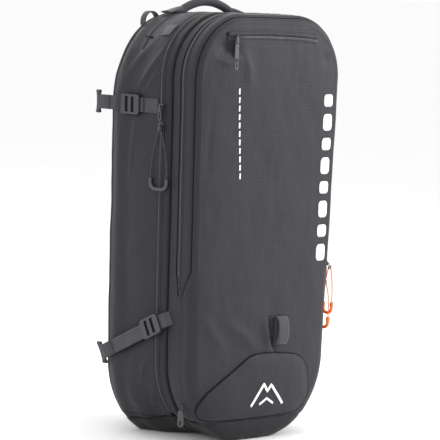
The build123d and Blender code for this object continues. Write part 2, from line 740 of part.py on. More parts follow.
BLOWER_Z = 424.0
BLOWER_Y = (-32.0, -68.0)
with BuildPart() as blower_housing:
    with BuildSketch(Plane.XZ.offset(-BLOWER_Y[0])):
        with Locations((0, BLOWER_Z)):
            Circle(54)
        with Locations((34, BLOWER_Z + 31)):
            Rectangle(40, 62)
    extrude(amount=BLOWER_Y[0] - BLOWER_Y[1])
    with BuildSketch(Plane.XZ.offset(-BLOWER_Y[0] + WALL)):
        with Locations((0, BLOWER_Z)):
            Circle(51)
        with Locations((34, BLOWER_Z + 35)):
            Rectangle(34, 80)
    extrude(amount=BLOWER_Y[0] - BLOWER_Y[1], mode=Mode.SUBTRACT)
with BuildPart() as blower_cover:
    with BuildSketch(Plane.XZ.offset(-BLOWER_Y[1])):
        with Locations((0, BLOWER_Z)):
            Circle(54)
        with Locations((34, BLOWER_Z + 31)):
            Rectangle(40, 62)
        with Locations((0, BLOWER_Z)):
            Circle(28, mode=Mode.SUBTRACT)
    extrude(amount=2.5)
    with BuildSketch(Plane.XZ.offset(-BLOWER_Y[1])):
        with Locations((0, BLOWER_Z)):
            Rectangle(58, 2.5)
            Rectangle(2.5, 58)
            Circle(20)
            Circle(17.5, mode=Mode.SUBTRACT)
    extrude(amount=2.5)
save(blower_cover, "blower_cover")
MOTOR_Y = BLOWER_Y[0] - WALL
with BuildPart() as blower_motor:
    with BuildSketch(Plane.XZ.offset(-MOTOR_Y)):
        with Locations((0, BLOWER_Z)):
            Circle(15)
    extrude(amount=17)
    with BuildSketch(Plane.XZ.offset(-MOTOR_Y + 17)):
        with Locations((0, BLOWER_Z)):
            Circle(2.5)
    extrude(amount=8)
save(blower_motor, "blower_motor")
with BuildPart() as impeller:
    with BuildSketch(Plane.XZ.offset(-MOTOR_Y + 2)):
        with Locations((0, BLOWER_Z)):
            Circle(20)
            Circle(17, mode=Mode.SUBTRACT)
    extrude(amount=22)
    with BuildSketch(Plane.XZ.offset(-MOTOR_Y + 19)):
        with Locations((0, BLOWER_Z)):
            Circle(20)
            Circle(2.55, mode=Mode.SUBTRACT)
    extrude(amount=5)
    with BuildSketch(Plane.XZ.offset(-MOTOR_Y + 3)):
        with Locations((0, BLOWER_Z)):
            with PolarLocations(32, 12):
                Rectangle(26, 2)
    extrude(amount=21)
save(impeller, "impeller")

with BuildPart() as airbag_pack:
    with Locations((0, -52, 532)):
        Box(170, 48, 78)
    fillet(airbag_pack.edges().filter_by(Axis.Y), 24)
    fillet(airbag_pack.faces().sort_by(Axis.Y)[0].edges(), 12)
save(airbag_pack, "airbag_pack")
with BuildPart() as air_duct:
    with BuildSketch(Plane.XY.offset(BLOWER_Z + 62)):
        with Locations((34, -50)):
            Rectangle(40, 34)
            Rectangle(34, 28, mode=Mode.SUBTRACT)
    extrude(amount=6.6)
with BuildPart() as housing_and_duct:
    add(blower_housing.part)
    add(air_duct.part)
save(housing_and_duct, "blower_housing")

with BuildPart() as energy_unit:
    with Locations((0, -50, 334)):
        Box(124, 40, 56)
    fillet(energy_unit.edges(), 6)
save(energy_unit, "energy_unit")
BUTTON_X, BUTTON_Z = 30.0, 284.0
CONTROL_FRONT_Y = -72.0
with BuildPart() as control_unit:
    with Locations((0, CONTROL_FRONT_Y + 22, 283)):
        Box(110, 44, 42)
    fillet(control_unit.edges(), 5)
    with BuildSketch(Plane.XZ.offset(-CONTROL_FRONT_Y - 5)):
        with Locations((BUTTON_X, BUTTON_Z)):
            Circle(5.05)
    extrude(amount=6, mode=Mode.SUBTRACT)
    with Locations((CABLE_X, -25.2, 291)):
        Box(9, 5.6, 10)
save(control_unit, "control_unit")
with BuildPart() as power_button:
    with BuildSketch(Plane.XZ.offset(-CONTROL_FRONT_Y - 3)):
        with Locations((BUTTON_X, BUTTON_Z)):
            Circle(5)
    extrude(amount=4.5)
save(power_button, "power_button")

with BuildPart() as system_divider:
    extrude(bag_outline(-77, WALL + 1), amount=SHEET)
    add(slab(EVERY_X, EVERY_Y, (308, 900)), mode=Mode.INTERSECT)
save(system_divider, "system_divider")

INNER_CABLE = (
    (CABLE_X, 6.2, CABLE_Z),
    (CABLE_X, -22.5, CABLE_Z),
    (CABLE_X, -26.5, 482),
    (CABLE_X, -28, 472),
    (CABLE_X, -25.4, 430),
    (CABLE_X, -25.6, 390),
    (CABLE_X, -25.0, 350),
    (CABLE_X, -25.5, 318),
    (CABLE_X, -25.2, 296.2),
)
inner_cable = cord(INNER_CABLE, CABLE_R, "trigger_cable_inner")
save(inner_cable, "trigger_cable_inner")
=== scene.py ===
import json
import math

import bmesh
import bpy
from mathutils import Matrix, Vector, noise


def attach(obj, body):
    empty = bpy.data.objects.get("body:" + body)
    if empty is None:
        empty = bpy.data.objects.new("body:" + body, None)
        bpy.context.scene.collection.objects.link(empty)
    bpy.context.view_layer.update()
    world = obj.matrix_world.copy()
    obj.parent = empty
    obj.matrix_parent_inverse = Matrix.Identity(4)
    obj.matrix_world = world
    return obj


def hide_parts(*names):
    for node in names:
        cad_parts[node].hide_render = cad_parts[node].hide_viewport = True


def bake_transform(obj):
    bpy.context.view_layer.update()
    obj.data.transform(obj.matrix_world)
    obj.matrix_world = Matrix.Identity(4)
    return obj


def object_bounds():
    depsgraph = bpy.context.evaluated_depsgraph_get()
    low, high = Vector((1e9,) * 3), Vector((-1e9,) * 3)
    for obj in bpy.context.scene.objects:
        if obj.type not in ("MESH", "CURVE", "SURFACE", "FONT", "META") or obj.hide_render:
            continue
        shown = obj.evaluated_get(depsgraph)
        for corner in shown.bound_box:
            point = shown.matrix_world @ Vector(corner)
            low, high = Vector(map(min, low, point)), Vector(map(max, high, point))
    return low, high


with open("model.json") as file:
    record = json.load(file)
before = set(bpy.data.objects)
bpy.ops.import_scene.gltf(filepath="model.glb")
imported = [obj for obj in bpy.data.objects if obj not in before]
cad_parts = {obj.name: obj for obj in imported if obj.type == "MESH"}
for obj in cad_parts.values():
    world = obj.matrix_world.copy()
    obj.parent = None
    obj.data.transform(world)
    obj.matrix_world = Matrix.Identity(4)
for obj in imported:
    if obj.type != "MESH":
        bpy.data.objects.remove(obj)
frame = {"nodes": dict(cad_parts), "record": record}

NODES = frame["nodes"]
cad_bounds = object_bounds()

# ---- sizes shared with the CAD, metres ----------------------------------
BAG_H, TOP_HALF, BASE_HALF = 0.600, 0.149, 0.135
TOP_R, BASE_R = 0.092, 0.118
TOP_X, TOP_Z = 0.05483, 0.508
BASE_X, BASE_Z0 = 0.01972, 0.118
LEAN = math.atan((TOP_HALF - BASE_HALF) / BAG_H)
REAR_Y, ZIP_Y, FLAP_Y, FRONT_Y = -0.014, -0.124, -0.166, -0.186
REAR_R, FRONT_R = 0.022, 0.020
BASE_Z, FLAP_Z = 0.030, 0.202
SEAM_1, SEAM_2 = -0.1156, -0.139
ARC_BASE = BASE_R * (math.pi / 2 - LEAN)
SIDE_LEN = math.hypot(
    (TOP_X + TOP_R * math.cos(LEAN)) - (BASE_X + BASE_R * math.cos(LEAN)),
    (TOP_Z - TOP_R * math.sin(LEAN)) - (BASE_Z0 - BASE_R * math.sin(LEAN)),
)
ARC_TOP = TOP_R * (math.pi / 2 + LEAN)
HALF_LEN = BASE_X + ARC_BASE + SIDE_LEN + ARC_TOP + TOP_X


def smooth(t):
    t = min(max(t, 0.0), 1.0)
    return t * t * (3 - 2 * t)


def mix(a, b, t):
    return a + (b - a) * t


def half_width(z):
    return BASE_HALF + (TOP_HALF - BASE_HALF) * z / BAG_H


def rim(s):
    """The bag's outline seen from the front: s runs from the base's centre, left negative, right positive."""
    side = -1.0 if s < 0 else 1.0
    a = min(abs(s), HALF_LEN)
    if a < BASE_X:
        return side * a, 0.0, 0.0, -1.0
    a -= BASE_X
    if a < ARC_BASE:
        t = a / BASE_R
        nx, nz = math.sin(t), -math.cos(t)
        return side * (BASE_X + BASE_R * nx), BASE_Z0 + BASE_R * nz, side * nx, nz
    a -= ARC_BASE
    if a < SIDE_LEN:
        x0 = BASE_X + BASE_R * math.cos(LEAN)
        z0 = BASE_Z0 - BASE_R * math.sin(LEAN)
        return (side * (x0 + a * math.sin(LEAN)), z0 + a * math.cos(LEAN),
                side * math.cos(LEAN), -math.sin(LEAN))
    a -= SIDE_LEN
    if a < ARC_TOP:
        t = a / TOP_R - LEAN
        nx, nz = math.cos(t), math.sin(t)
        return side * (TOP_X + TOP_R * nx), TOP_Z + TOP_R * nz, side * nx, nz
    a -= ARC_TOP
    return side * (TOP_X - a), BAG_H, 0.0, 1.0


def depth_in(x, z):
    """How far inside the outline a point of the front view lies."""
    ax = abs(x)
    if z > TOP_Z and ax > TOP_X:
        return TOP_R - math.hypot(ax - TOP_X, z - TOP_Z)
    if z < BASE_Z0 and ax > BASE_X:
        return BASE_R - math.hypot(ax - BASE_X, z - BASE_Z0)
    sides = (half_width(z) - ax) * math.cos(LEAN)
    low = -0.012 * math.log(sum(math.exp(-v / 0.012) for v in (sides, BAG_H - z, z)))
    return max(low, 0.0)


EDGE_ANGLE = math.radians(80)
EDGE_D = FRONT_R * (1 - math.cos(EDGE_ANGLE))
EDGE_Y = FRONT_Y + FRONT_R - FRONT_R * math.sin(EDGE_ANGLE)
CROWN = 0.0075
CROWN_L = CROWN / math.tan(math.pi / 2 - EDGE_ANGLE)


def front_y(x, z):
    """The smooth front face, a soft crown inside the rounded edge."""
    d = depth_in(x, z)
    if d < EDGE_D:
        return FRONT_Y + FRONT_R - math.sqrt(max(FRONT_R**2 - (FRONT_R - d) ** 2, 0))
    return EDGE_Y - CROWN * (1 - math.exp(-(d - EDGE_D) / CROWN_L))


def near(p, path):
    """Distance from a 2-D point to a polyline, and the share of the way along it."""
    best, share, run = 1e9, 0.0, 0.0
    total = sum(math.dist(a, b) for a, b in zip(path, path[1:]))
    for a, b in zip(path, path[1:]):
        dx, dy = b[0] - a[0], b[1] - a[1]
        seg = math.hypot(dx, dy)
        t = min(max(((p[0] - a[0]) * dx + (p[1] - a[1]) * dy) / (seg * seg), 0), 1)
        d = math.hypot(p[0] - a[0] - dx * t, p[1] - a[1] - dy * t)
        if d < best:
            best, share = d, (run + t * seg) / total
        run += seg
    return best, share


# folds: points, half width, height (negative is a hollow). Side folds are (y, z), front folds are (x, z).
LEFT_FOLDS = [
    (((-0.113, 0.548), (-0.094, 0.518), (-0.070, 0.487)), 0.006, 0.0030),
    (((-0.112, 0.520), (-0.098, 0.502), (-0.084, 0.486)), 0.005, 0.0022),
    (((-0.108, 0.532), (-0.090, 0.506), (-0.076, 0.488)), 0.004, -0.0020),
    (((-0.085, 0.560), (-0.060, 0.530), (-0.046, 0.500)), 0.007, 0.0020),
    (((-0.069, 0.452), (-0.063, 0.400), (-0.057, 0.350)), 0.003, 0.0016),
    (((-0.056, 0.450), (-0.050, 0.400), (-0.048, 0.350)), 0.008, -0.0020),
    (((-0.112, 0.115), (-0.096, 0.105), (-0.088, 0.085)), 0.004, 0.0016),
    (((-0.110, 0.075), (-0.100, 0.060), (-0.098, 0.045)), 0.003, 0.0012),
    (((-0.112, 0.305), (-0.085, 0.285), (-0.060, 0.255)), 0.008, 0.0012),
]
FRONT_FOLDS = [
    (((-0.105, 0.552), (-0.091, 0.556), (-0.077, 0.552)), 0.009, -0.0055),
    (((-0.110, 0.536), (-0.092, 0.534), (-0.072, 0.540)), 0.004, 0.0022),
    (((-0.058, 0.545), (-0.052, 0.525), (-0.050, 0.500)), 0.007, 0.0020),
    (((0.009, 0.172), (0.014, 0.150), (0.022, 0.124)), 0.0035, -0.0050),
    (((-0.001, 0.170), (0.004, 0.150), (0.010, 0.130)), 0.007, 0.0030),
    (((-0.070, 0.165), (-0.040, 0.150), (-0.018, 0.132)), 0.010, 0.0022),
    (((-0.115, 0.172), (-0.095, 0.150), (-0.080, 0.128)), 0.009, 0.0014),
    (((0.115, 0.545), (0.103, 0.536)), 0.005, -0.0022),
    (((-0.118, 0.475), (-0.121, 0.430), (-0.122, 0.380)), 0.005, -0.0012),
]


def bell(t):
    return math.exp(-t * t)


def zip_lines(z):
    """Where the tool pocket's two seams run: apart on the sides, meeting at the flap's fold."""
    c = smooth((0.248 - z) / 0.042)
    return mix(-0.1600, -0.1650, c), mix(-0.1785, -0.1672, c)


# fold y, fold z, slope in degrees, reach to the hook, lift of the webbing
STRAPS = {"upper": (-0.084, 0.469, 0.0, 0.092, 0.0022), "lower": (-0.137, 0.172, 26.0, 0.136, 0.0067)}


def strap_gap(y, z):
    """Distance from a point of the side to the middle line of the nearest compression strap."""
    gaps = []
    for fold_y, fold_z, slope, _, _ in STRAPS.values():
        a = math.radians(slope)
        along = (y - fold_y) * math.cos(a) + (z - fold_z) * -math.sin(a)
        across = (y - fold_y) * math.sin(a) + (z - fold_z) * math.cos(a)
        gaps.append(math.hypot(across, max(0, -0.03 - along)))
    return min(gaps)


def corner_push(x, y, z):
    """Fuller corners: low at the rear, high at the front."""
    dx, dz = abs(x) - BASE_X, BASE_Z0 - z
    if dx > 0 and dz > 0:
        amount = 0.0145 * (dz / BASE_R) * smooth((y + 0.108) / 0.045) + 0.003 * smooth((-0.136 - y) / 0.02)
        return amount * 2 * dx * dz / (dx * dx + dz * dz)
    dx, dz = abs(x) - TOP_X, z - TOP_Z
    if dx > 0 and dz > 0:
        return (
            (0.002 * smooth((-0.162 - y) / 0.018) - 0.005 * smooth((y + 0.075) / 0.05))
            * 2 * dx * dz / (dx * dx + dz * dz)
        )
    return 0.0


def relief(p, n):
    """How far the cloth stands out of the smooth shape: puffs, pinched seams, folds and small wrinkles."""
    x, y, z = p
    out = corner_push(x, y, z) * (1 - n.y * n.y)
    out += 0.0034 * smooth((-0.1690 - y) / 0.008) * (1 - 0.6 * n.y * n.y)
    out += 0.0048 * smooth((y + 0.060) / 0.025)
    out -= 0.0068 * smooth((z - 0.47) / 0.07) * smooth((y + 0.112) / 0.045)
    out += 0.0009 * noise.noise(Vector((x * 24, y * 24, z * 15)))
    out += 0.0004 * noise.noise(Vector((x * 70, y * 70, z * 42)))
    flat = abs(n.y)
    if y > ZIP_Y and flat < 0.8:
        t = (y - SEAM_1) / (-0.030 - SEAM_1)
        puff = 0.0042 * math.sin(math.pi * min(max(t, 0), 1)) ** 0.8
        if abs(n.x) > 0.5:
            puff *= 1 - 1.25 * bell(strap_gap(y, z) / 0.017)
        if z < BASE_Z + 0.02:
            puff *= 0.6
        out += puff
        out -= 0.0014 * bell((y - SEAM_1) / 0.0022)
        out -= 0.0012 * bell((z - BASE_Z) / 0.0022)
        if x < 0 or z < 0.5:
            mirror_z = z if x < 0 else z - 0.02
            for path, width, height in LEFT_FOLDS:
                gap, share = near((y, mirror_z), path)
                if gap < 3 * width:
                    out += height * bell(gap / width) * math.sin(math.pi * (0.12 + 0.76 * share))
    elif y <= ZIP_Y:
        out -= 0.0013 * bell((y - SEAM_2) / 0.0014)
        out += 0.0008 * bell((y - SEAM_2 - 0.0035) / 0.002)
        if z > FLAP_Z - 0.004:
            line_3, line_4 = zip_lines(z)
            if flat < 0.93:
                out -= 0.0015 * bell((y - line_3) / 0.0013)
                out -= 0.0018 * bell((y - line_4) / 0.0013)
                out += 0.0012 * bell((y - (line_3 + line_4) / 2) / 0.005)
                out += 0.0010 * bell((y - line_4 + 0.004) / 0.0025)
        if flat > 0.35:
            for path, width, height in FRONT_FOLDS:
                gap, share = near((x, z), path)
                if gap < 3 * width:
                    out += height * bell(gap / width) * math.sin(math.pi * (0.12 + 0.76 * share))
        out -= 0.0012 * bell((z - BASE_Z) / 0.0022)
    if n.z < -0.05:
        # the cloth under the bag is flat where it rests on the floor
        out = min(out, z / -n.z)
    return out


def cover_profile():
    """(inset, y) from the zip to the end of the rounded front edge."""
    rows = [(0.0, mix(ZIP_Y - 0.0004, FRONT_Y + FRONT_R, i / 22)) for i in range(23)]
    steps = 26
    for i in range(1, steps + 1):
        a = EDGE_ANGLE * i / steps
        rows.append((FRONT_R * (1 - math.cos(a)), FRONT_Y + FRONT_R - FRONT_R * math.sin(a)))
    return rows


def body_profile():
    """(inset, y) from the back panel's edge to the main zip."""
    rows = [(mix(0.060, REAR_R, i / 8), REAR_Y) for i in range(8)]
    steps = 14
    for i in range(steps + 1):
        a = math.pi / 2 * i / steps
        rows.append((REAR_R * (1 - math.sin(a)), REAR_Y - REAR_R * (1 - math.cos(a))))
    for i in range(1, 41):
        rows.append((0.0, mix(REAR_Y - REAR_R, SEAM_1, i / 40)))
    return rows


RING = [-HALF_LEN + 2 * HALF_LEN * i / 500 for i in range(500)]


def ring_point(s, inset, y, k=0.0):
    """A point of the smooth shape; k runs from the front edge to the middle of the front face."""
    x, z, nx, nz = rim(s)
    px, pz = x - nx * inset, z - nz * inset
    if k:
        mid_z = min(max(z, BASE_Z0 + 0.02), TOP_Z - 0.01)
        px, pz = mix(px, 0.0, k), mix(pz, mid_z, k)
        y = front_y(px, pz)
    return Vector((px, y, pz))


def loft(name, rows, k_steps=0):
    """Skin through the rings of a profile, pushed out by the relief."""
    rings = [[ring_point(s, inset, y) for s in RING] for inset, y in rows]
    end_inset, end_y = rows[-1]
    for i in range(1, k_steps + 1):
        rings.append([ring_point(s, end_inset, end_y, i / k_steps) for s in RING])
    mesh = bpy.data.meshes.new(name)
    count = len(RING)
    faces = []
    for r in range(len(rings) - 1):
        for c in range(count):
            d = (c + 1) % count
            faces.append((r * count + c, (r + 1) * count + c, (r + 1) * count + d, r * count + d))
    mesh.from_pydata([tuple(p) for ring in rings for p in ring], [], faces)
    bm = bmesh.new()
    bm.from_mesh(mesh)
    bmesh.ops.remove_doubles(bm, verts=bm.verts, dist=0.0004)
    bmesh.ops.recalc_face_normals(bm, faces=bm.faces)
    bm.normal_update()
    centre = Vector((0, -0.09, 0.3))
    score = sum((f.calc_center_median() - centre).dot(f.normal) for f in bm.faces)
    if score < 0:
        bmesh.ops.reverse_faces(bm, faces=bm.faces)
        bm.normal_update()
    moves = [(v, relief(v.co, v.normal)) for v in bm.verts]
    for v, d in moves:
        v.co += v.normal * d
    bm.to_mesh(mesh)
    bm.free()
    return new_object(name, mesh)


def new_object(name, mesh, smooth_faces=True):
    obj = bpy.data.objects.new(name, mesh)
    bpy.context.scene.collection.objects.link(obj)
    if smooth_faces:
        for f in mesh.polygons:
            f.use_smooth = True
    return obj


def from_bmesh(name, bm, smooth_faces=True):
    """An object from a finished bmesh, which it frees."""
    mesh = bpy.data.meshes.new(name)
    bm.to_mesh(mesh)
    bm.free()
    return new_object(name, mesh, smooth_faces)


def from_faces(name, verts, faces):
    """An object from points and faces."""
    mesh = bpy.data.meshes.new(name)
    mesh.from_pydata([tuple(v) for v in verts], [], faces)
    return new_object(name, mesh)


def cut(obj, co, no):
    """Keeps what lies on the side of the plane that its normal points to."""
    bm = bmesh.new()
    bm.from_mesh(obj.data)
    geom = bm.verts[:] + bm.edges[:] + bm.faces[:]
    bmesh.ops.bisect_plane(bm, geom=geom, plane_co=co, plane_no=no, clear_inner=True, dist=1e-6)
    bm.to_mesh(obj.data)
    bm.free()


def thicken(obj, thickness=0.0022, offset=-1):
    apply_modifier(obj, "SOLIDIFY", thickness=thickness, offset=offset, use_even_offset=False)


def apply_modifier(obj, kind, **settings):
    modifier = obj.modifiers.new(kind.lower(), kind)
    for key, value in settings.items():
        setattr(modifier, key, value)
    graph = bpy.context.evaluated_depsgraph_get()
    graph.update()
    mesh = bpy.data.meshes.new_from_object(obj.evaluated_get(graph))
    obj.modifiers.clear()
    old = obj.data
    obj.data = mesh
    bpy.data.meshes.remove(old)
    for f in obj.data.polygons:
        f.use_smooth = True


def copy_of(obj, name):
    return new_object(name, obj.data.copy())


# ---- materials ----------------------------------------------------------
def put(tree, kind, links=(), **values):
    node = tree.nodes.new("ShaderNode" + kind)
    for key, value in values.items():
        setattr(node, key, value)
    for index, source in links:
        if isinstance(source, (int, float, tuple)):
            node.inputs[index].default_value = source
        else:
            tree.links.new(source, node.inputs[index])
    return node


def calc(tree, operation, *sources, clamp=False):
    node = put(tree, "Math", list(enumerate(sources)), operation=operation, use_clamp=clamp)
    return node.outputs[0]


def remap(tree, value, low, high, start, end):
    """The value's range from low to high, stretched to run from start to end."""
    return put(tree, "MapRange", [(0, value), (1, low), (2, high), (3, start), (4, end)]).outputs[0]


class Look:
    """A material under construction, with the coordinates of the row frame."""

    def __init__(self, name, roughness=0.6, metallic=0.0, specular=0.5, **sockets):
        self.mat = bpy.data.materials.new(name)
        self.mat.use_nodes = True
        self.tree = self.mat.node_tree
        self.shader = self.tree.nodes["Principled BSDF"]
        self.shader.inputs["Roughness"].default_value = roughness
        self.shader.inputs["Metallic"].default_value = metallic
        self.shader.inputs["Specular IOR Level"].default_value = specular
        for key, value in sockets.items():
            self.shader.inputs[key.replace("_", " ")].default_value = value
        coordinates = put(self.tree, "TexCoord")
        self.place = coordinates.outputs["Object"]
        self.normal = coordinates.outputs["Normal"]
        self.xyz = put(self.tree, "SeparateXYZ", [(0, self.place)]).outputs
        self.nxyz = put(self.tree, "SeparateXYZ", [(0, self.normal)]).outputs
        self.height = None

    def noise(self, scale, detail=2.0, stretch=None):
        place = self.place
        if stretch:
            place = put(self.tree, "VectorMath", [(0, place), (1, stretch)], operation="MULTIPLY").outputs[0]
        node = put(self.tree, "TexNoise", [(0, place)])
        node.inputs["Scale"].default_value = scale
        node.inputs["Detail"].default_value = detail
        return node.outputs["Fac"]

    def grid(self, size, width):
        """Thin lines across each axis, at `size` apart, that fade where the surface faces along that axis."""
        value = None
        for axis in range(3):
            tri = calc(self.tree, "PINGPONG", self.xyz[axis], size / 2)
            line = remap(self.tree, tri, 0.0, width, 1.0, 0.0)
            facing = calc(self.tree, "ABSOLUTE", self.nxyz[axis])
            line = calc(self.tree, "MULTIPLY", line, remap(self.tree, facing, 0.55, 0.85, 1.0, 0.0))
            value = line if value is None else calc(self.tree, "MAXIMUM", value, line)
        return value

    def weave(self, size):
        """Two crossing sets of threads."""
        value = None
        for axis in range(3):
            wave = calc(self.tree, "SINE", calc(self.tree, "MULTIPLY", self.xyz[axis], 2 * math.pi / size))
            facing = calc(self.tree, "ABSOLUTE", self.nxyz[axis])
            wave = calc(self.tree, "MULTIPLY", wave, calc(self.tree, "SUBTRACT", 1.0, facing))
            value = wave if value is None else calc(self.tree, "ADD", value, wave)
        return value

    def over(self, below, colour, factor):
        """One colour over another; the lower one is a colour or a socket."""
        ramp = put(self.tree, "Mix", data_type="RGBA")
        if isinstance(below, tuple):
            ramp.inputs["A"].default_value = (*below, 1)
        else:
            self.tree.links.new(below, ramp.inputs["A"])
        ramp.inputs["B"].default_value = (*colour, 1)
        self.tree.links.new(factor, ramp.inputs["Factor"])
        return ramp.outputs["Result"]

    def raise_by(self, value, metres):
        value = calc(self.tree, "MULTIPLY", value, metres)
        self.height = value if self.height is None else calc(self.tree, "ADD", self.height, value)

    def done(self, colour):
        self.tree.links.new(colour, self.shader.inputs["Base Color"])
        if self.height is not None:
            bump = put(self.tree, "Bump")
            bump.inputs["Distance"].default_value = 1.0
            bump.inputs["Strength"].default_value = 1.0
            self.tree.links.new(self.height, bump.inputs["Height"])
            self.tree.links.new(bump.outputs[0], self.shader.inputs["Normal"])
        return self.mat


def scaled(colour, k):
    return tuple(c * k for c in colour)


def ripstop(name, colour, roughness=0.55, grid=0.0048, grid_gain=0.35, wrinkle=0.0009, sheen=0.05,
            specular=0.22):
    look = Look(name, roughness, specular=specular, Sheen_Weight=sheen, Sheen_Roughness=0.45)
    lines = look.grid(grid, 0.00042)
    broad = look.noise(9, 3)
    fine = look.noise(420, 2)
    tone = look.over(scaled(colour, 0.86), scaled(colour, 1.16), broad)
    tone = look.over(tone, scaled(colour, 1.55), calc(look.tree, "MULTIPLY", lines, grid_gain))
    tone = look.over(tone, scaled(colour, 0.6), calc(look.tree, "MULTIPLY", fine, 0.22))
    look.raise_by(lines, 0.00016)
    look.raise_by(look.weave(0.0009), 0.00002)
    look.raise_by(look.noise(46, 3, (1, 1, 0.6)), wrinkle)
    look.raise_by(look.noise(150, 2), wrinkle * 0.16)
    return look.done(tone)


def webbing_look(name, colour):
    look = Look(name, 0.72, specular=0.3, Sheen_Weight=0.25, Sheen_Roughness=0.4)
    ribs = look.weave(0.0019)
    diagonal = calc(look.tree, "ADD", look.xyz[1], look.xyz[2])
    twill = calc(look.tree, "SINE", calc(look.tree, "MULTIPLY", diagonal, 2 * math.pi / 0.0026))
    mask = remap(look.tree, ribs, -1.2, 1.2, 0.0, 1.0)
    tone = look.over(scaled(colour, 0.68), scaled(colour, 1.3), mask)
    tone = look.over(tone, scaled(colour, 1.45), calc(look.tree, "MULTIPLY", look.noise(60, 3), 0.3))
    look.raise_by(ribs, 0.00008)
    look.raise_by(twill, 0.00005)
    look.raise_by(look.noise(300, 2), 0.0001)
    return look.done(tone)


def spacer_mesh(name, colour):
    look = Look(name, 0.85, specular=0.2, Sheen_Weight=0.2, Sheen_Roughness=0.5)
    cells = put(look.tree, "TexVoronoi", [(0, look.place)], feature="DISTANCE_TO_EDGE")
    cells.inputs["Scale"].default_value = 330
    holes = remap(look.tree, cells.outputs[0], 0.05, 0.30, 0.0, 1.0)
    # the holes are painted much darker than the threads: painted shade inside the mesh's openings
    tone = look.over(scaled(colour, 1.5), scaled(colour, 0.35), holes)
    tone = look.over(tone, scaled(colour, 1.8), calc(look.tree, "MULTIPLY", look.noise(14, 2), 0.25))
    look.raise_by(calc(look.tree, "SUBTRACT", 1.0, holes), 0.0005)
    return look.done(tone)


def moulded(name, colour, roughness=0.42, specular=0.5, grain=0.00006, **sockets):
    look = Look(name, roughness, specular=specular, **sockets)
    speck = look.noise(700, 2)
    tone = look.over(scaled(colour, 0.82), scaled(colour, 1.2), look.noise(40, 3))
    tone = look.over(
        tone, scaled(colour, 1.5), calc(look.tree, "MULTIPLY", calc(look.tree, "POWER", speck, 4.0), 0.5)
    )
    look.raise_by(speck, grain)
    return look.done(tone)


def braided(name, colour):
    look = Look(name, 0.7, specular=0.3, Sheen_Weight=0.2, Sheen_Roughness=0.4)
    one = calc(look.tree, "ADD", look.xyz[2], look.xyz[1])
    two = calc(look.tree, "SUBTRACT", look.xyz[2], look.xyz[1])
    wave_one = calc(look.tree, "SINE", calc(look.tree, "MULTIPLY", one, 2 * math.pi / 0.0016))
    wave_two = calc(look.tree, "SINE", calc(look.tree, "MULTIPLY", two, 2 * math.pi / 0.0016))
    braid = calc(look.tree, "MULTIPLY", wave_one, wave_two)
    mask = remap(look.tree, braid, -1.0, 1.0, 0.0, 1.0)
    look.raise_by(braid, 0.0001)
    return look.done(look.over(scaled(colour, 0.65), scaled(colour, 1.15), mask))


CHARCOAL = (0.0190, 0.0174, 0.0228)
MATS = {
    "shell_fabric": ripstop("shell_fabric", CHARCOAL, grid_gain=0.22, wrinkle=0.0008),
    "side_fabric": ripstop("side_fabric", scaled(CHARCOAL, 0.92), roughness=0.5, grid_gain=0.3),
    "base_fabric": ripstop("base_fabric", scaled(CHARCOAL, 0.55), roughness=0.6, grid_gain=0.1, grid=0.0024),
    "lining_fabric": ripstop("lining_fabric", (0.16, 0.16, 0.17), roughness=0.6, grid=0.004, wrinkle=0.0012),
    "padding_foam": spacer_mesh("padding_foam", (0.045, 0.044, 0.050)),
    "webbing": webbing_look("webbing", (0.040, 0.038, 0.046)),
    "rubberised_patch": ripstop("rubberised_patch", scaled(CHARCOAL, 1.1), roughness=0.6, grid=0.0024,
                                grid_gain=0.08, wrinkle=0.0005),
    "zip_tape": webbing_look("zip_tape", (0.018, 0.017, 0.020)),
    "zip_metal": moulded("zip_metal", (0.030, 0.030, 0.033), 0.32, 0.6, 0.00003, Coat_Weight=0.3),
    "pull_plastic": moulded("pull_plastic", (0.040, 0.038, 0.044), 0.42),
    "pull_orange": moulded("pull_orange", (0.95, 0.17, 0.012), 0.45),
    "cord_dark": braided("cord_dark", (0.045, 0.043, 0.050)),
    "cord_orange": braided("cord_orange", (0.95, 0.20, 0.02)),
    "buckle_plastic": moulded("buckle_plastic", (0.022, 0.021, 0.025), 0.32, 0.6),
    "frame_sheet": moulded("frame_sheet", (0.10, 0.10, 0.105), 0.5),
    "airbag_cloth": ripstop("airbag_cloth", (0.85, 0.15, 0.02), roughness=0.5, grid=0.006, wrinkle=0.0016),
    "system_plastic": moulded("system_plastic", (0.045, 0.045, 0.05), 0.48),
    "motor_steel": moulded("motor_steel", (0.42, 0.42, 0.44), 0.3, 0.5, 0.00002, Metallic=1.0),
    "button_plastic": moulded("button_plastic", (0.55, 0.04, 0.03), 0.25, 0.6, 0.00001),
    "cable_steel": moulded("cable_steel", (0.02, 0.02, 0.022), 0.45),
    "trigger_orange": moulded("trigger_orange", (0.90, 0.13, 0.015), 0.45),
    "print": moulded("print", (0.80, 0.80, 0.80), 0.5, 0.4, 0.00003),
    "thread": braided("thread", (0.040, 0.038, 0.046)),
    "piping": webbing_look("piping", (0.026, 0.024, 0.030)),
    "seam_shadow": moulded("seam_shadow", (0.008, 0.008, 0.009), 0.8, 0.1),
    "grey_patch": ripstop("grey_patch", (0.070, 0.067, 0.076), roughness=0.5, grid_gain=0.1),
}
for name, obj in NODES.items():
    for entry in frame["record"]["subparts"]:
        if entry["node"] == name:
            obj.data.materials.clear()
            obj.data.materials.append(MATS[entry["material_slot"]])


def dress(obj, look):
    obj.data.materials.clear()
    obj.data.materials.append(MATS[look])
    return obj


def place(obj, body, look, slot=None, stands_for=()):
    dress(obj, look)
    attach(obj, body)
    if stands_for:
        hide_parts(*stands_for)
    return obj


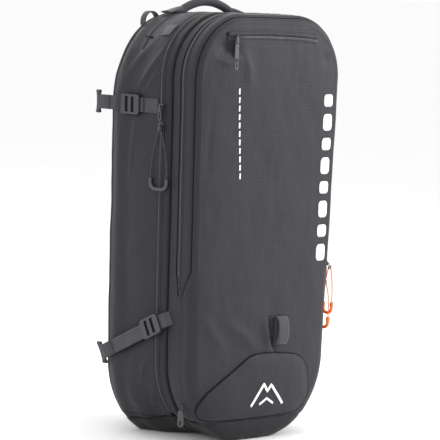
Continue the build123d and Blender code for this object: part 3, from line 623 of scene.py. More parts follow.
# ---- stage, light and camera --------------------------------------------
def build_stage():
    mesh = bpy.data.meshes.new("floor")
    mesh.from_pydata([(-90, -90, 0), (90, -90, 0), (90, 90, 0), (-90, 90, 0)], [], [(0, 1, 2, 3)])
    floor = new_object("floor", mesh, False)
    floor.location.z = cad_bounds[0][2] - 0.001
    look = Look("floor_paper", 0.9, specular=0.1)
    floor.data.materials.append(look.done(look.over((0.86, 0.86, 0.86), (0.89, 0.89, 0.89), look.noise(2))))
    world = bpy.data.worlds.new("studio")
    world.use_nodes = True
    world.node_tree.nodes["Background"].inputs[0].default_value = (1, 1, 1, 1)
    world.node_tree.nodes["Background"].inputs[1].default_value = 1.1
    bpy.context.scene.world = world
    bpy.context.scene.view_settings.view_transform = "Standard"
    for name, spot, size, power in (
        ("key", (2.0, -1.6, 1.3), 1.2, 54),
        ("fill", (-2.4, -0.4, 1.0), 1.4, 16),
        ("top", (0.1, 0.0, 2.4), 1.4, 14),
        ("back", (0.4, 2.4, 1.2), 1.6, 14),
    ):
        data = bpy.data.lights.new(name, "AREA")
        data.size = size
        data.energy = power
        lamp = bpy.data.objects.new(name, data)
        bpy.context.scene.collection.objects.link(lamp)
        lamp.location = spot
        lamp.rotation_euler = (Vector((0, -0.08, 0.3)) - Vector(spot)).to_track_quat("-Z", "Y").to_euler()


# the picture is this many metres wide at a plane this much nearer than the camera's target
PICTURE_WIDTH, SCALE_PLANE, SENSOR_MM = 0.6204, 0.1, 36


def build_camera():
    data = bpy.data.cameras.new("camera")
    camera = bpy.data.objects.new("camera", data)
    bpy.context.scene.collection.objects.link(camera)
    azimuth, elevation, roll = math.radians(-45.5), math.radians(5.0), math.radians(2.4)
    target = Vector((0.0224, -0.0741, 0.3012))
    distance = 4.0
    out = Vector((
        math.sin(azimuth) * math.cos(elevation), -math.cos(azimuth) * math.cos(elevation), math.sin(elevation)
    ))
    camera.location = target + out * distance
    rotation = (-out).to_track_quat("-Z", "Y").to_matrix() @ Matrix.Rotation(roll, 3, "Z")
    camera.rotation_euler = rotation.to_euler()
    data.sensor_width = SENSOR_MM
    data.lens = SENSOR_MM * (distance - SCALE_PLANE) / PICTURE_WIDTH
    data.clip_end = 400
    bpy.context.scene.camera = camera


build_stage()
build_camera()

# ---- the bag's skins ----------------------------------------------------
body = loft("body_skin", body_profile())
base = loft("base_rear", body_profile() + [(0.0, ZIP_Y)])
cover = loft("cover_skin", cover_profile(), 40)
base_front = copy_of(cover, "base_front")
below = Vector((0, 0, BASE_Z - 0.0002))
for part in (base, base_front):
    cut(part, below, Vector((0, 0, -1)))
for part in (body, cover):
    cut(part, Vector((0, 0, BASE_Z + 0.0002)), Vector((0, 0, 1)))
gusset = copy_of(cover, "gusset_skin")
cut(gusset, Vector((0, FLAP_Y, 0)), Vector((0, 1, 0)))
cut(cover, Vector((0, FLAP_Y, 0)), Vector((0, -1, 0)))
cover.name = "front_skin"
base.name, base_front.name = "base_rear_skin", "base_front_skin"
for part in (body, base, base_front, gusset, cover):
    thicken(part)
place(body, "bag", "side_fabric",
      stands_for=("left_side_panel", "right_side_panel", "top_panel", "rear_panel"))
place(base, "bag", "base_fabric", stands_for=("base_panel",))
place(base_front, "bag", "base_fabric")
place(gusset, "front_cover", "side_fabric", stands_for=("front_gusset",))
dress(cover, "shell_fabric")
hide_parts("tool_flap", "lower_front_panel")
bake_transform(cover)


# ---- pieces that follow the skin ----------------------------------------
def shell_point(s, inset, y, lift=0.0):
    """A point of the finished skin on the sides, the top or the rounded edges, and its outward normal."""
    e = 0.0008
    p = ring_point(s, inset, y)
    along = ring_point(s + e, inset, y) - ring_point(s - e, inset, y)
    nx, nz = rim(s)[2:]
    if inset > 1e-6 or y < FRONT_Y + FRONT_R:
        a = math.acos(1 - inset / FRONT_R)
        n = Vector((nx * math.cos(a), -math.sin(a), nz * math.cos(a)))
    else:
        n = Vector((nx, 0, nz))
    n = n.normalized()
    return p + n * (relief(p, n) + lift), n, along.normalized()


def edge_inset(y):
    """The inset of the rounded front edge at depth y."""
    a = math.asin(min(max((FRONT_Y + FRONT_R - y) / FRONT_R, 0), 0.999))
    return FRONT_R * (1 - math.cos(a))


def front_point(x, z, lift=0.0):
    """A point of the finished front face and its outward normal."""
    e = 0.001
    gx = (front_y(x + e, z) - front_y(x - e, z)) / (2 * e)
    gz = (front_y(x, z + e) - front_y(x, z - e)) / (2 * e)
    n = Vector((gx, -1, gz)).normalized()
    p = Vector((x, front_y(x, z), z))
    return p + n * (relief(p, n) + lift), n


def tube(name, centres, radius, sides=8, squash_by=1.0, normals=None, closed=False):
    """A round or flattened tube along points."""
    verts, faces = [], []
    count = len(centres)
    radii = radius if isinstance(radius, (list, tuple)) else [radius] * count
    up = None
    for i, c in enumerate(centres):
        before = centres[i - 1] if i or closed else centres[0]
        after = centres[(i + 1) % count] if i < count - 1 or closed else centres[-1]
        t = (after - before).normalized()
        if normals:
            up = normals[i]
        elif up is None:
            up = t.orthogonal()
        across = t.cross(up).normalized()
        up = across.cross(t).normalized()
        for k in range(sides):
            a = 2 * math.pi * k / sides
            verts.append(c + across * (math.cos(a) * radii[i]) + up * (math.sin(a) * radii[i] * squash_by))
    last = count if closed else count - 1
    for i in range(last):
        j = (i + 1) % count
        for k in range(sides):
            m = (k + 1) % sides
            faces.append((i * sides + k, i * sides + m, j * sides + m, j * sides + k))
    if not closed:
        faces.append(tuple(reversed(range(sides))))
        faces.append(tuple(range((count - 1) * sides, count * sides)))
    return from_faces(name, verts, faces)


def band(name, rows):
    """A strip through rows of points: each row runs across the strip."""
    width = len(rows[0])
    verts = [tuple(p) for row in rows for p in row]
    faces = [
        (r * width + c, r * width + c + 1, (r + 1) * width + c + 1, (r + 1) * width + c)
        for r in range(len(rows) - 1)
        for c in range(width - 1)
    ]
    return from_faces(name, verts, faces)


def join(name, objs):
    """One object from several, with one material to come."""
    bm = bmesh.new()
    for obj in objs:
        obj.data.transform(obj.matrix_world)
        bm.from_mesh(obj.data)
        mesh = obj.data
        bpy.data.objects.remove(obj)
        bpy.data.meshes.remove(mesh)
    return from_bmesh(name, bm)


def rounded_box(name, centre, size, bevel=0.001, segments=2, rotation=None):
    bm = bmesh.new()
    bmesh.ops.create_cube(bm, size=1)
    bmesh.ops.scale(bm, vec=Vector(size), verts=bm.verts)
    if bevel:
        bmesh.ops.bevel(bm, geom=bm.edges[:], offset=bevel, segments=segments, affect="EDGES", profile=0.5)
    if rotation is not None:
        bmesh.ops.transform(bm, matrix=rotation.to_4x4(), verts=bm.verts)
    bmesh.ops.translate(bm, vec=Vector(centre), verts=bm.verts)
    return from_bmesh(name, bm)


def span(a, b, step):
    count = max(2, int(abs(b - a) / step) + 1)
    return [mix(a, b, i / (count - 1)) for i in range(count)]


def s_at(z, side=1.0):
    """The outline's arc length at height z on a side."""
    low, high = BASE_X, HALF_LEN - TOP_X
    for _ in range(40):
        mid = (low + high) / 2
        if rim(mid)[1] < z:
            low = mid
        else:
            high = mid
    return side * low


def around(z_low, step=0.003, z_right=None):
    """Arc lengths from a height on the left side, over the top, to the right side."""
    left = span(-s_at(z_low), -HALF_LEN + 1e-5, step)
    right = span(HALF_LEN - 1e-5, s_at(z_right or z_low), step)
    return left + right[1:]


def seam_tube(name, ss, y_of, radius, lift, body, look, squash_by=0.8, slot=None):
    centres, normals = [], []
    for s in ss:
        z = rim(s)[1]
        y = y_of(z) if callable(y_of) else y_of
        p, n, _ = shell_point(s, edge_inset(y) if y < ZIP_Y - 0.034 else 0.0, y, lift)
        centres.append(p)
        normals.append(n)
    return place(tube(name, centres, radius, 8, squash_by, normals), body, look, slot)


def stitches(name, path, body, length=0.0026, gap=0.0018, radius=0.00032, look="thread"):
    """Thread stitches along (point, normal) pairs."""
    bm = bmesh.new()
    run, next_start = 0.0, 0.0
    for (a, na), (b, _) in zip(path, path[1:]):
        seg = (b - a).length
        if seg > 0.02 or seg < 1e-7:
            continue
        while next_start < run + seg:
            t = (next_start - run) / seg
            c = a.lerp(b, max(t, 0)) + na * 0.00015
            d = (b - a).normalized()
            across = d.cross(na).normalized()
            ring = []
            for end, grow in ((-0.5, 0.35), (-0.3, 1), (0.3, 1), (0.5, 0.35)):
                ring.append(
                    [
                        bm.verts.new(
                            c + d * (end * length)
                            + (across * math.cos(u) + na * math.sin(u)) * (radius * grow)
                        )
                        for u in (0.0, 1.257, 2.513, 3.770, 5.027)
                    ]
                )
            for r, q in zip(ring, ring[1:]):
                for k in range(5):
                    bm.faces.new((r[k], r[(k + 1) % 5], q[(k + 1) % 5], q[k]))
            bm.faces.new(list(reversed(ring[0])))
            bm.faces.new(ring[-1])
            next_start += length + gap
        run += seg
    return place(from_bmesh(name, bm), body, look, "webbing")


def ring_path(ss, y, lift=0.0):
    inset = edge_inset(y) if y < ZIP_Y - 0.034 else 0.0
    return [shell_point(s, inset, y, lift)[:2] for s in ss]


def strip(name, path, width, body, look, slot=None, thickness=0.0014, columns=7, crown=0.0):
    """A ribbon along (point, normal) pairs, as wide as stated, lying on its normals."""
    rows = []
    for i, (p, n) in enumerate(path):
        ahead = path[min(i + 1, len(path) - 1)][0] - path[max(i - 1, 0)][0]
        across = ahead.cross(n).normalized()
        row = []
        for k in range(columns):
            u = 2 * k / (columns - 1) - 1
            row.append(p + across * (u * width / 2) + n * (crown * (1 - u * u)))
        rows.append(row)
    piece = band(name, rows)
    thicken(piece, thickness, 0)
    return place(piece, body, look, slot)


def teeth(name, path, body, pitch=0.0021, lift=0.0009):
    """Two rows of small zip teeth along (point, normal) pairs."""
    bm = bmesh.new()
    run, due = 0.0, 0.0
    corners = [(u, v, w) for w in (-1, 1) for u, v in ((-1, -1), (1, -1), (1, 1), (-1, 1))]
    for (a, na), (b, _) in zip(path, path[1:]):
        seg = (b - a).length
        if seg < 1e-7:
            continue
        d = (b - a).normalized()
        across = d.cross(na).normalized()
        while due < run + seg:
            c = a.lerp(b, (due - run) / seg) + na * lift
            for side in (-1, 1):
                middle = c + across * (side * 0.00085) + d * (0.5 * pitch * (side > 0))
                ring = []
                for u, v, w in corners:
                    taper = 0.65 if w > 0 else 1.0
                    offset = d * (u * taper * 0.00062) + across * (v * taper * 0.001) + na * (w * 0.00055)
                    ring.append(bm.verts.new(middle + offset))
                for f in ((0, 3, 2, 1), (4, 5, 6, 7), (0, 1, 5, 4), (1, 2, 6, 5), (2, 3, 7, 6), (3, 0, 4, 7)):
                    bm.faces.new([ring[i] for i in f])
            due += pitch
        run += seg
    return place(from_bmesh(name, bm, False), body, "buckle_plastic", "zip_tape")


# ---- zips and seams over the bag ----------------------------------------
ALL_ROUND = around(BASE_Z + 0.006)
MAIN_ZIP_Y, TOOL_ZIP_Y = -0.1196, -0.1620
main_path = ring_path(around(BASE_Z + 0.008), MAIN_ZIP_Y, 0.0003)
main_tape = strip("main_zip_tape", main_path, 0.0076, "bag", "zip_tape", thickness=0.0008)
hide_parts("main_zip")
teeth("main_zip_teeth", main_path, "bag")
tool_path = ring_path(around(FLAP_Z + 0.020), TOOL_ZIP_Y, 0.0003)
tool_tape = strip("tool_zip_tape", tool_path, 0.0076, "front_cover", "zip_tape", thickness=0.0008)
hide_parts("tool_zip")
teeth("tool_zip_teeth", tool_path, "front_cover")
seam_tube("side_piping", ALL_ROUND, SEAM_1, 0.0013, 0.0004, "bag", "piping", slot="webbing")
seam_tube("cover_seam", ALL_ROUND, SEAM_2, 0.0009, 0.0002, "front_cover", "seam_shadow", slot="zip_tape")
stitches("cover_stitches", ring_path(ALL_ROUND, SEAM_2 - 0.0035), "front_cover")
stitches("side_stitches", ring_path(ALL_ROUND, SEAM_1 + 0.0040), "bag")
flap_rows = []
for s in ALL_ROUND:
    row = []
    for k in range(7):
        y = mix(ZIP_Y - 0.0005, -0.1385, k / 6)
        row.append(shell_point(s, 0.0, y, 0.0006 + 0.0008 * math.sin(math.pi * k / 6))[0])
    flap_rows.append(row)
zip_flap = band("main_zip_flap", flap_rows)
thicken(zip_flap, 0.0012, -1)
place(zip_flap, "front_cover", "base_fabric", "side_fabric")

POCKET_ROUND = around(FLAP_Z + 0.006)
seam_tube("pocket_seam_rear", POCKET_ROUND, lambda z: zip_lines(z)[0] + 0.006, 0.0009, 0.0001, "front_cover",
          "seam_shadow", slot="zip_tape")
seam_tube("pocket_seam_front", POCKET_ROUND, lambda z: zip_lines(z)[1], 0.0010, 0.0001, "tool_flap",
          "seam_shadow", slot="zip_tape")


def rear_edge_path(ss, a, lift):
    """Points and normals along the rounded rear edge, at an angle round it."""
    out = []
    for s in ss:
        x, z, nx, nz = rim(s)
        inset = REAR_R * (1 - math.sin(a))
        n = Vector((nx * math.sin(a), math.cos(a), nz * math.sin(a)))
        p = Vector((x - nx * inset, REAR_Y - REAR_R * (1 - math.cos(a)), z - nz * inset))
        out.append((p + n * (relief(p, n) + lift), n))
    return out


rear_edge = around(BASE_Z + 0.004)
path = rear_edge_path(rear_edge, math.radians(52), 0.0002)
place(tube("rear_edge_piping", [p for p, n in path], 0.0017, 8), "bag", "piping", "webbing")
stitches("rear_edge_stitches", rear_edge_path(rear_edge, math.radians(72), 0.0), "bag")

# ---- base seam: the darker base meets the walls --------------------------
for side, word in ((-1, "left"), (1, "right")):
    s = s_at(BASE_Z, side)
    seam = [shell_point(s, 0.0, y, 0.0002)[:2] for y in span(-0.036, FRONT_Y + FRONT_R, 0.003)]
    place(tube(f"base_seam_{word}", [p for p, n in seam], 0.0010, 8), "bag", "seam_shadow", "zip_tape")

# ---- compression straps --------------------------------------------------
STRAP_W = 0.020
HOOK_HALF = 0.0135


def strap_point(which, side, a, b, lift):
    """A point in a strap's own plane: a along it to the rear, b across it, lift out of the bag."""
    fold_y, fold_z, slope = STRAPS[which][:3]
    tilt = math.radians(slope)
    up = Vector((-math.sin(LEAN), 0, math.cos(LEAN)))
    out = Vector((-math.cos(LEAN), 0, -math.sin(LEAN)))
    along = Vector((0, math.cos(tilt), 0)) - up * math.sin(tilt)
    over = Vector((0, math.sin(tilt), 0)) + up * math.cos(tilt)
    p = Vector((-half_width(fold_z), fold_y, fold_z)) + along * a + over * b + out * lift
    n = out.copy()
    if side > 0:
        p.x, n.x = -p.x, -n.x
    return p, n


def strap_layer(name, which, side, a_from, a_to, lift, body, sag=0.0, width=STRAP_W):
    """A length of ribbed webbing with thick selvedges."""
    rows = []
    for a in span(a_from, a_to, 0.002):
        t = (a - a_from) / (a_to - a_from)
        row = []
        for k in range(11):
            u = 2 * k / 10 - 1
            edge = 0.00018 if abs(u) > 0.75 else 0.0
            height = lift + edge - sag * math.sin(math.pi * t) + 0.00025 * math.sin(9 * t * math.pi + u)
            row.append(strap_point(which, side, a, u * width / 2, height)[0])
        rows.append(row)
    piece = band(name, rows)
    thicken(piece, 0.0014, 0)
    return place(piece, body, "webbing")


def bar_hook(name, which, side):
    """The bar-shaped hook at the strap's rear end, with a rounded lip at each end of the bar."""
    reach, web_lift = STRAPS[which][3:]
    ends = [strap_point(which, side, reach, b, web_lift + 0.0008)[0]
            for b in span(-HOOK_HALF, HOOK_HALF, 0.0015)]
    count = len(ends)
    radii = [0.0031 + 0.0010 * abs(2 * i / (count - 1) - 1) ** 2 for i in range(count)]
    normals = [strap_point(which, side, reach, 0, 0)[1]] * count
    bar = tube(name + "_bar", ends, radii, 14, 0.85, normals)
    lips = []
    for b in (-HOOK_HALF, HOOK_HALF):
        centre = strap_point(which, side, reach, b * 1.06, web_lift + 0.0008)[0]
        lips.append(rounded_box(name + "_lip", centre, (0.0055, 0.0078, 0.0042), 0.0016, 3))
    return place(join(name, [bar] + lips), f"{side_word(side)}_{which}_strap", "buckle_plastic")


def side_word(side):
    return "left" if side < 0 else "right"


for which, (_, _, _, reach, web_lift) in STRAPS.items():
    for side in (-1, 1):
        word = side_word(side)
        body_name = f"{word}_{which}_strap"
        top = strap_layer(f"{body_name}_webbing", which, side, 0.0005, reach - 0.003, web_lift + 0.0008,
                          body_name)
        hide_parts(body_name)
        bar_hook(f"{body_name}_hook", which, side)
        strap_layer(f"{body_name}_lap", which, side, reach - 0.024, reach - 0.004, web_lift + 0.0024,
                    body_name)
        for k, a in enumerate((reach - 0.021, reach - 0.017)):
            path = [strap_point(which, side, a, b, web_lift + 0.0032) for b in span(-0.0085, 0.0085, 0.001)]
            stitches(f"{body_name}_bar_tack_{k}", path, body_name, 0.0016, 0.0004)

# anchors of the upper straps and the small loops at the top rear corners
anchor_parts = []
for side in (-1, 1):
    rows = []
    for a in span(-0.027, 0.0105, 0.002):
        rows.append([strap_point("upper", side, a, b, 0.0009)[0] for b in span(-0.010, 0.010, 0.002)])
    anchor = band("anchor", rows)
    thicken(anchor, 0.0013, 0)
    anchor_parts.append(anchor)
    rows = []
    for k in range(25):
        a = math.radians(-20 + 220 * k / 24)
        x = side * (0.0885 - 0.0140 * math.cos(a))
        z = 0.5835 + 0.0150 * math.sin(a)
        rows.append([Vector((x, y, z)) for y in span(-0.0225, -0.0325, 0.002)])
    loop = band("loop", rows)
    thicken(loop, 0.0014, 0)
    anchor_parts.append(loop)
place(join("sewn_webbing_pieces", anchor_parts), "bag", "webbing", stands_for=("sewn_webbing",))
for side in (-1, 1):
    for k, b in enumerate((-0.0078, 0.0078)):
        path = [strap_point("upper", side, a, b, 0.0017) for a in span(-0.016, -0.004, 0.001)]
        stitches(f"{side_word(side)}_anchor_stitches_{k}", path, "bag")
for side in (-1, 1):
    rows = []
    for a in span(-0.0105, 0.0005, 0.0015):
        lift = mix(0.0010, STRAPS["lower"][4] + 0.0008, smooth((a + 0.0105) / 0.010))
        rows.append([strap_point("lower", side, a, b, lift)[0] for b in span(-0.010, 0.010, 0.002)])
    root = band(f"{side_word(side)}_lower_strap_root", rows)
    thicken(root, 0.0014, 0)
    place(root, "front_cover", "webbing")

# ---- carry handle: a rolled tube that flattens into its sewn ends --------
HANDLE_Y, HANDLE_R = -0.050, 0.0062
centres, radii, normals = [], [], []
for k in range(61):
    u = 2 * k / 60 - 1
    x = 0.080 * u
    fall = smooth((abs(u) - 0.55) / 0.35)
    z = mix(0.520 + math.sqrt(0.0942**2 - min(abs(x), 0.07) ** 2) + 0.0008, 0.6005, fall)
    surface_x, surface_z = abs(x) - TOP_X, 0.600
    if surface_x > 0:
        surface_z = TOP_Z + math.sqrt(TOP_R**2 - surface_x**2)
    centres.append(Vector((
        x, HANDLE_Y + 0.0006 * math.sin(5 * u),
        max(z, surface_z + 0.0016) if fall < 1 else surface_z + 0.0016,
    )))
    radii.append(mix(HANDLE_R, 0.0095, fall))
    normals.append(Vector((0, 0, 1)))
handle = tube("carry_handle_tube", centres, radii, 20, 1.0, normals)
for v in handle.data.vertices:
    index = v.index // 20
    fall = smooth((abs(2 * index / 60 - 1) - 0.55) / 0.35)
    middle = centres[min(index, 60)]
    v.co.z = middle.z + (v.co.z - middle.z) * mix(1.0, 0.16, fall)
dress(handle, "piping")
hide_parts("carry_handle")
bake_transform(handle)
seam = [(centres[i] + Vector((0, -0.0008, radii[i] * 0.98)), Vector((0, 0, 1))) for i in range(16, 45)]
stitches("carry_handle_stitches", seam, "carry_handle")

# ---- airbag seam over the top, its end patches ---------------------------
AIRBAG_SEAM_Y = -0.064
seam_ring = around(0.548)
airbag_band = strip("airbag_seam_band", ring_path(seam_ring, AIRBAG_SEAM_Y, 0.0003), 0.0046, "bag",
                    "side_fabric", "zip_tape", 0.0008)
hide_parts("airbag_seam")
stitches("airbag_seam_stitches", ring_path(seam_ring, AIRBAG_SEAM_Y - 0.0012, 0.0008), "bag")


def patch(name, side, corners, body, look, slot, lift=0.0008, steps=12):
    """A sewn patch on the side or the rounded shoulder; its corners are (y, z)."""
    (y0, z0), (y1, z1), (y2, z2), (y3, z3) = corners
    rows = []
    for i in range(steps + 1):
        t = i / steps
        row = []
        for k in range(steps + 1):
            u = k / steps
            y = mix(mix(y0, y1, u), mix(y3, y2, u), t)
            z = mix(mix(z0, z1, u), mix(z3, z2, u), t)
            row.append(shell_point(s_at(z, side), 0.0, y, lift)[0])
        rows.append(row)
    piece = band(name, rows)
    thicken(piece, 0.0010, 0)
    return place(piece, body, look, slot)


PATCH = ((-0.0940, 0.5798), (-0.1094, 0.5802), (-0.1073, 0.5664), (-0.0919, 0.5650))
for side in (-1, 1):
    word = side_word(side)
    patch(f"{word}_grey_patch", side, PATCH, "bag", "grey_patch", "side_fabric")
    slit = [shell_point(s_at(z, side), 0.0, y, 0.0003)[:2]
            for y, z in ((-0.056, 0.5665), (-0.065, 0.5650), (-0.075, 0.5635))]
    place(tube(f"{word}_seam_slit", [p for p, n in slit], 0.0010, 8), "bag", "seam_shadow", "zip_tape")

# ---- lower front pocket ---------------------------------------------------
POCKET_OUTLINE = [(-0.098, 0.034), (-0.050, 0.0325), (0.000, 0.0325), (0.050, 0.033), (0.084, 0.036),
                  (0.098, 0.052), (0.101, 0.070), (0.095, 0.094), (0.086, 0.108), (0.072, 0.1175),
                  (0.040, 0.1215), (0.006, 0.1240), (-0.026, 0.1230), (-0.050, 0.1075),
                  (-0.088, 0.0850), (-0.116, 0.0640), (-0.113, 0.0460)]
POCKET_CENTRE = (-0.002, 0.075)


def rounded_loop(points, steps=10):
    """A closed smooth line near a loop of points (quadratic B-spline)."""
    out = []
    count = len(points)
    for i in range(count):
        a, b, c = points[i - 1], points[i], points[(i + 1) % count]
        start = ((a[0] + b[0]) / 2, (a[1] + b[1]) / 2)
        end = ((b[0] + c[0]) / 2, (b[1] + c[1]) / 2)
        for k in range(steps):
            t = k / steps
            out.append(tuple(
                (1 - t) ** 2 * start[j] + 2 * t * (1 - t) * b[j] + t * t * end[j] for j in (0, 1)
            ))
    return out


POCKET_LOOP = rounded_loop(POCKET_OUTLINE)


def pocket_rise(k):
    """Height of the pocket over the front: k is 0 at its middle and 1 at its outline."""
    return 0.0008 + 0.0052 * (1 - k**5) ** 0.8


def pocket_share(x, z):
    """How far a point lies from the pocket's middle to its outline."""
    def direction(u, v):
        return math.atan2(v - POCKET_CENTRE[1], u - POCKET_CENTRE[0])

    angle = direction(x, z)
    best = min(POCKET_LOOP, key=lambda q: abs(math.remainder(direction(*q) - angle, 2 * math.pi)))
    return min(math.dist((x, z), POCKET_CENTRE) / math.dist(best, POCKET_CENTRE), 1.0)


def pocket_point(x, z, lift=0.0):
    return front_point(x, z, pocket_rise(pocket_share(x, z)) + lift)


RINGS = 26
verts, faces = [tuple(front_point(*POCKET_CENTRE, pocket_rise(0))[0])], []
for r in range(1, RINGS + 1):
    k = (r / RINGS) ** 0.8
    for x, z in POCKET_LOOP:
        px, pz = mix(POCKET_CENTRE[0], x, k), mix(POCKET_CENTRE[1], z, k)
        verts.append(tuple(front_point(px, pz, pocket_rise(k))[0]))
LOOP_N = len(POCKET_LOOP)
for c in range(LOOP_N):
    faces.append((0, 1 + (c + 1) % LOOP_N, 1 + c))
    for r in range(RINGS - 1):
        a, b = 1 + r * LOOP_N, 1 + (r + 1) * LOOP_N
        faces.append((a + c, a + (c + 1) % LOOP_N, b + (c + 1) % LOOP_N, b + c))
pocket = from_faces("ski_pocket_panel", verts, faces)
thicken(pocket, 0.0012, 0)
place(pocket, "front_cover", "rubberised_patch", stands_for=("ski_pocket",))
edge_path = [front_point(x, z, 0.0010) for x, z in POCKET_LOOP]
place(tube("ski_pocket_seam", [p for p, n in edge_path], 0.0010, 8, closed=True),
      "front_cover", "seam_shadow", "zip_tape")
inner = [front_point(mix(POCKET_CENTRE[0], x, 0.955), mix(POCKET_CENTRE[1], z, 0.955),
                     pocket_rise(0.955) + 0.0007)
         for x, z in POCKET_LOOP]
stitches("ski_pocket_stitches", inner + inner[:1], "front_cover")

# ---- ice-axe tab, goggle zip and the printed marks -----------------------
TAB_X, TAB_TOP, TAB_LOW = 0.030, 0.174, 0.135
rows = []
for k in range(41):
    t = k / 40
    angle = 2 * math.pi * t
    z = mix(TAB_LOW, TAB_TOP, 0.5 + 0.5 * math.cos(angle))
    if t > 0.5:
        depth = 0.0012 + 0.0006 * math.sin(angle) ** 2
    else:
        depth = 0.0016 + 0.0078 * math.sin(math.pi * 2 * t) ** 0.8
    rows.append([front_point(TAB_X + dx, z, depth)[0] for dx in span(-0.0105, 0.0105, 0.002)])
tab = band("ice_axe_tab", rows)
thicken(tab, 0.0015, 0)
place(tab, "front_cover", "webbing", stands_for=("ice_axe_loop",))
for k, z in enumerate((TAB_TOP - 0.0030, TAB_TOP - 0.0062)):
    path = [front_point(TAB_X + dx, z, 0.0075 if k else 0.0052) for dx in span(-0.009, 0.009, 0.001)]
    stitches(f"ice_axe_tab_tack_{k}", path, "front_cover", 0.0016, 0.0004)

GOGGLE_Z = 0.566
goggle_path = [front_point(x, GOGGLE_Z + 0.0035 - 0.35 * x * x - 0.012 * x, 0.0002)
               for x in span(-0.092, 0.088, 0.003)]
strip("goggle_zip_tape", goggle_path, 0.0076, "tool_flap", "zip_tape", thickness=0.0008)
teeth("goggle_zip_teeth", goggle_path, "tool_flap")
lip_path = [front_point(p.x, p.z + 0.0052, 0.0009) for p, n in goggle_path]
strip("goggle_zip_lip", lip_path, 0.0058, "tool_flap", "shell_fabric", thickness=0.0012, crown=0.0009)


def pillow(name, low, high, body, look, stands_for=(), crown=0.16, cells=14):
    """A soft closed pack between two corners: its faces crown and its edges are round."""
    bm = bmesh.new()
    bmesh.ops.create_cube(bm, size=2)
    bmesh.ops.subdivide_edges(bm, edges=bm.edges[:], cuts=cells, use_grid_fill=True)
    middle = (Vector(low) + Vector(high)) / 2
    half = (Vector(high) - Vector(low)) / 2
    for v in bm.verts:
        q = v.co.copy()
        size = (abs(q.x) ** 6 + abs(q.y) ** 6 + abs(q.z) ** 6) ** (1 / 6)
        q = q / size * (1 - crown * 0.12) * (1 + 0.012 * noise.noise(q * 2.2))
        v.co = middle + Vector((q.x * half.x, q.y * half.y, q.z * half.z))
    return place(from_bmesh(name, bm), body, look, stands_for=stands_for)


pouch = pillow("goggle_pouch_lining", (-0.074, -0.1795, 0.471), (0.074, -0.1670, 0.563), "tool_flap",
               "lining_fabric", ("goggle_pocket",))


def front_quad(name, x_range, z_range, at, lift=0.0004, steps=5, round_by=0.3):
    """A small printed bar with rounded corners on the front; at(x, z, lift) gives its surface."""
    width, height = x_range[1] - x_range[0], z_range[1] - z_range[0]
    radius = round_by * min(width, height)
    outline = []
    for cx, cz, start in ((1, 1, 0), (-1, 1, 90), (-1, -1, 180), (1, -1, 270)):
        for k in range(steps + 1):
            a = math.radians(start + 90 * k / steps)
            px = cx * (width / 2 - radius) + radius * math.cos(a)
            pz = cz * (height / 2 - radius) + radius * math.sin(a)
            outline.append((sum(x_range) / 2 + px, sum(z_range) / 2 + pz))
    centre = (sum(x_range) / 2, sum(z_range) / 2)
    verts, faces = [at(*centre, lift)[0]], []
    for share in (0.5, 1.0):
        for x, z in outline:
            verts.append(at(mix(centre[0], x, share), mix(centre[1], z, share), lift)[0])
    count = len(outline)
    for c in range(count):
        d = (c + 1) % count
        faces.append((0, 1 + c, 1 + d))
        faces.append((1 + c, 1 + count + c, 1 + count + d, 1 + d))
    piece = from_faces(name, verts, faces)
    thicken(piece, 0.0003, 0)
    return piece


bars = []
BAR_COUNT, BAR_LOW, BAR_HIGH = 8, 0.262, 0.481
for k in range(BAR_COUNT):
    z = mix(BAR_LOW, BAR_HIGH, k / (BAR_COUNT - 1))
    right = 0.1245 + 0.010 * (z - BAR_LOW)
    half = 0.0088 if k % 2 else 0.0120
    bars.append(front_quad("bar", (right - 0.021, right), (z - half, z + half), front_point, 0.0006))
place(join("print_bars", bars), "tool_flap", "print", "shell_fabric")
dashes = []
for k in range(11):
    z = mix(0.376, 0.494, k / 10)
    x = mix(-0.0630, -0.0708, k / 10)
    dashes.append(front_quad("dash", (x - 0.0013, x + 0.0013), (z - 0.0042, z + 0.0042), front_point, 0.0005,
                             steps=3))
place(join("print_dashes", dashes), "tool_flap", "print", "shell_fabric")


def stroke(points, width, at, lift):
    """A painted line along points of the front."""
    path = []
    for a, b in zip(points, points[1:]):
        count = max(2, int(math.dist(a, b) / 0.003))
        path += [at(mix(a[0], b[0], k / count), mix(a[1], b[1], k / count), lift) for k in range(count)]
    path.append(at(*points[-1], lift))
    rows = []
    for i, (p, n) in enumerate(path):
        d = path[min(i + 1, len(path) - 1)][0] - path[max(i - 1, 0)][0]
        across = d.cross(n).normalized()
        rows.append([p + across * (u * width / 2) for u in (-1, 0, 1)])
    piece = band("stroke", rows)
    thicken(piece, 0.0003, 0)
    return piece


peaks = [
    stroke(((-0.026, 0.050), (-0.004, 0.081), (0.004, 0.070), (0.011, 0.079), (0.038, 0.050)), 0.0042,
           pocket_point, 0.0013),
    stroke(((-0.010, 0.052), (0.004, 0.060), (0.018, 0.052)), 0.0034, pocket_point, 0.0013),
]
place(join("print_peaks", peaks), "front_cover", "print", "shell_fabric")

# ---- pulls and their cords -----------------------------------------------
SLIDER_LIFT, PIN_LIFT, CORD_D = 0.0015, 0.0039, 0.0016


def side_axes(y, z, lift, side):
    """Origin, forward, up and out on a straight side of the bag."""
    out = Vector((-math.cos(LEAN), 0, -math.sin(LEAN)))
    up = Vector((-math.sin(LEAN), 0, math.cos(LEAN)))
    origin = Vector((-half_width(z), y, z)) + out * lift
    if side > 0:
        for v in (origin, out, up):
            v.x = -v.x
    return origin, Vector((0, -1, 0)), up, out


